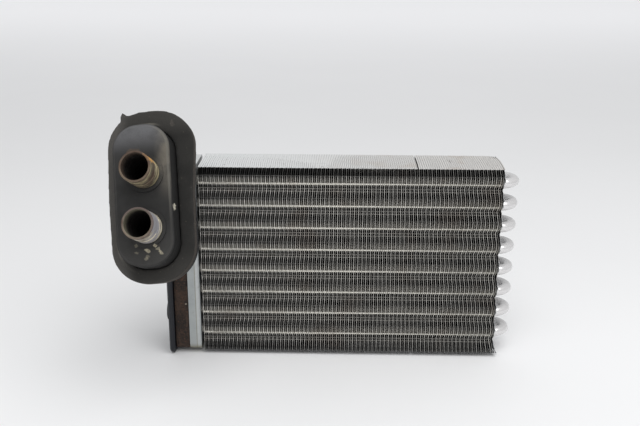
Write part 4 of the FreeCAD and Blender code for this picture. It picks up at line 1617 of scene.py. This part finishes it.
@dataclass
class Studio:
    """A pale floor, soft light and the camera at the photograph's place."""

    floor_colour: Colour = (0.83, 0.83, 0.835)
    floor_cloud: Colour = (0.82, 0.82, 0.825)
    floor_reach: float = 9.0
    place: Colour = (10.814 * MM, -627.379 * MM, 339.921 * MM)
    tilt: float = 71.854
    turn: float = 1.051
    roll: float = 0.277
    lens: float = 49.64
    sensor: float = 36.0
    black: Colour = (0.0, 0.0, 0.0)
    haze: Colour = (0.30, 0.30, 0.31)
    haze_start: float = 0.35
    haze_end: float = 3.1
    world_colour: Colour = (0.98, 0.99, 1.0)
    world_level: float = 0.60
    key_power: float = 22.0
    key_place: Colour = (0.30, -0.74, 1.5)
    key_size: float = 1.6
    fill_power: float = 4.5
    fill_place: Colour = (0.0, -1.9, 0.30)
    fill_width: float = 2.2
    fill_height: float = 0.45

    def floor(self) -> None:
        """Lay the floor that the part stands on."""
        source = bmesh.new()
        bmesh.ops.create_grid(source, x_segments=1, y_segments=1, size=self.floor_reach)
        mesh = bpy.data.meshes.new("floor")
        source.to_mesh(mesh)
        source.free()
        material, graph, shader = new_material("pale_floor")
        mottle = graph.spread(graph.noise(graph.place(), 3.0), 0.3, 0.7)
        graph.feed(shader.inputs["Base Color"], graph.blend(mottle, self.floor_colour, self.floor_cloud))
        shader.inputs["Roughness"].default_value = 0.7
        path = graph.add("ShaderNodeLightPath")
        seen = graph.maths("MAXIMUM", path.outputs["Is Camera Ray"], path.outputs["Is Glossy Ray"])
        seen = graph.maths("MAXIMUM", seen, path.outputs["Is Transmission Ray"])
        far = graph.spread(graph.axes(graph.place())[1], self.haze_start, self.haze_end)
        haze = graph.blend(graph.times(far, seen), self.black, self.haze)
        graph.feed(shader.inputs["Emission Color"], haze)
        shader.inputs["Emission Strength"].default_value = 1.0
        mesh.materials.append(material)
        floor = bpy.data.objects.new("floor", mesh)
        bpy.context.scene.collection.objects.link(floor)

    def light(self) -> None:
        """Set the world's light, a broad key lamp and a low fill lamp."""
        world = bpy.data.worlds.new("studio")
        world.use_nodes = True
        sky = world.node_tree.nodes["Background"]
        sky.inputs["Color"].default_value = (*self.world_colour, 1.0)
        sky.inputs["Strength"].default_value = self.world_level
        bpy.context.scene.world = world
        self.lamp("key", self.key_place, self.key_power, self.key_size, self.key_size)
        self.lamp("fill", self.fill_place, self.fill_power, self.fill_width, self.fill_height)

    def lamp(self, name: str, place: Colour, power: float, width: float, height: float) -> None:
        """Hang one soft lamp that faces the part.

        Args:
            name: Its name.
            place: Where it hangs, in metres.
            power: Its power in watts.
            width: Its width in metres.
            height: Its height in metres.
        """
        lamp = bpy.data.lights.new(name, "AREA")
        lamp.shape = "RECTANGLE"
        lamp.energy = power
        lamp.size = width
        lamp.size_y = height
        shown = bpy.data.objects.new(name, lamp)
        shown.location = place
        shown.rotation_euler = (-Vector(place)).to_track_quat("-Z", "Y").to_euler()
        bpy.context.scene.collection.objects.link(shown)

    def camera(self) -> None:
        """Set the camera where the photograph was taken from."""
        data = bpy.data.cameras.new("camera")
        data.lens = self.lens
        data.sensor_width = self.sensor
        data.sensor_fit = "HORIZONTAL"
        camera = bpy.data.objects.new("camera", data)
        stand = Matrix.Translation(self.place)
        for angle, axis in ((self.turn, "Z"), (self.tilt, "X"), (self.roll, "Z")):
            stand = stand @ Matrix.Rotation(math.radians(angle), 4, axis)
        camera.matrix_world = stand
        bpy.context.scene.collection.objects.link(camera)
        bpy.context.scene.camera = camera
        bpy.context.scene.view_settings.view_transform = "Standard"

    def build(self) -> None:
        """Build the floor, the light and the camera."""
        self.floor()
        self.light()
        self.camera()


def build_flange(effects: Effects) -> None:
    """Build the gasket, the grommet and the two stubs.

    Args:
        effects: The shared groups.
    """
    seal = FlangeSeal("flange_gasket", "flange_seal", Slot.SEAL, 1.0 * MM, 5, 0.10 * MM, 420.0, 0.9)
    seal.build(SealFinish(effects).material())
    dress_node("pipe_grommet", GrommetFinish(effects).material())
    upper = PipeStub("upper_pipe", "upper_stub", STUB_SIDE, 12.65 * MM)
    upper.build(PipeFinish(
        upper.side, upper.lift, "upper_pipe_stain", metal=(0.085, 0.070, 0.048), crust=(0.34, 0.29, 0.17),
        patch=(0.56, 0.30, 0.09), patch_at=(9.2 * MM, 6.2 * MM), patch_reach=(3.4 * MM, 3.0 * MM),
        lit_bore_mouth=(0.050, 0.034, 0.024),
    ).material())
    lower = PipeStub("lower_pipe", "lower_stub", STUB_SIDE, -26.25 * MM)
    lower.build(PipeFinish(
        lower.side, lower.lift, "lower_pipe_stain", metal=(0.27, 0.26, 0.275), crust=(0.56, 0.51, 0.38),
        patch=(0.27, 0.265, 0.28), patch_at=(10.5 * MM, 2.0 * MM), patch_reach=(3.0 * MM, 8.0 * MM),
        lit_bore_mouth=(0.115, 0.105, 0.075),
    ).material())


def build_tank(effects: Effects) -> None:
    """Dress the tank, its header plate and their seals, and build the foam band.

    Args:
        effects: The shared groups.
    """
    dress_node("end_tank", PlasticFinish(effects).material())
    dress_node("header_plate", HeaderFinish(effects).material())
    rubber = RubberFinish(effects).material()
    for node in ("header_gasket", "upper_sealing_ring", "lower_sealing_ring"):
        dress_node(node, rubber)
    band = FoamPiece("tank_foam_band", "tank_foam", Slot.BAND, 0.9 * MM, 2, 0.45 * MM, 560.0, 0.8)
    band.build(BandFinish(effects).material())


def write_sizes() -> None:
    """Update the view layer."""
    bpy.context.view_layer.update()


def main() -> None:
    """Build and dress every piece, then the studio."""
    logging.basicConfig(level=logging.INFO, format="%(message)s")
    effects = Effects(grain_group(), dust_group(), speckle_group())
    FinBlock().build(effects)
    HairpinTubes().build()
    build_tank(effects)
    build_flange(effects)
    Studio().build()
    write_sizes()


if __name__ == "__main__":
    main()
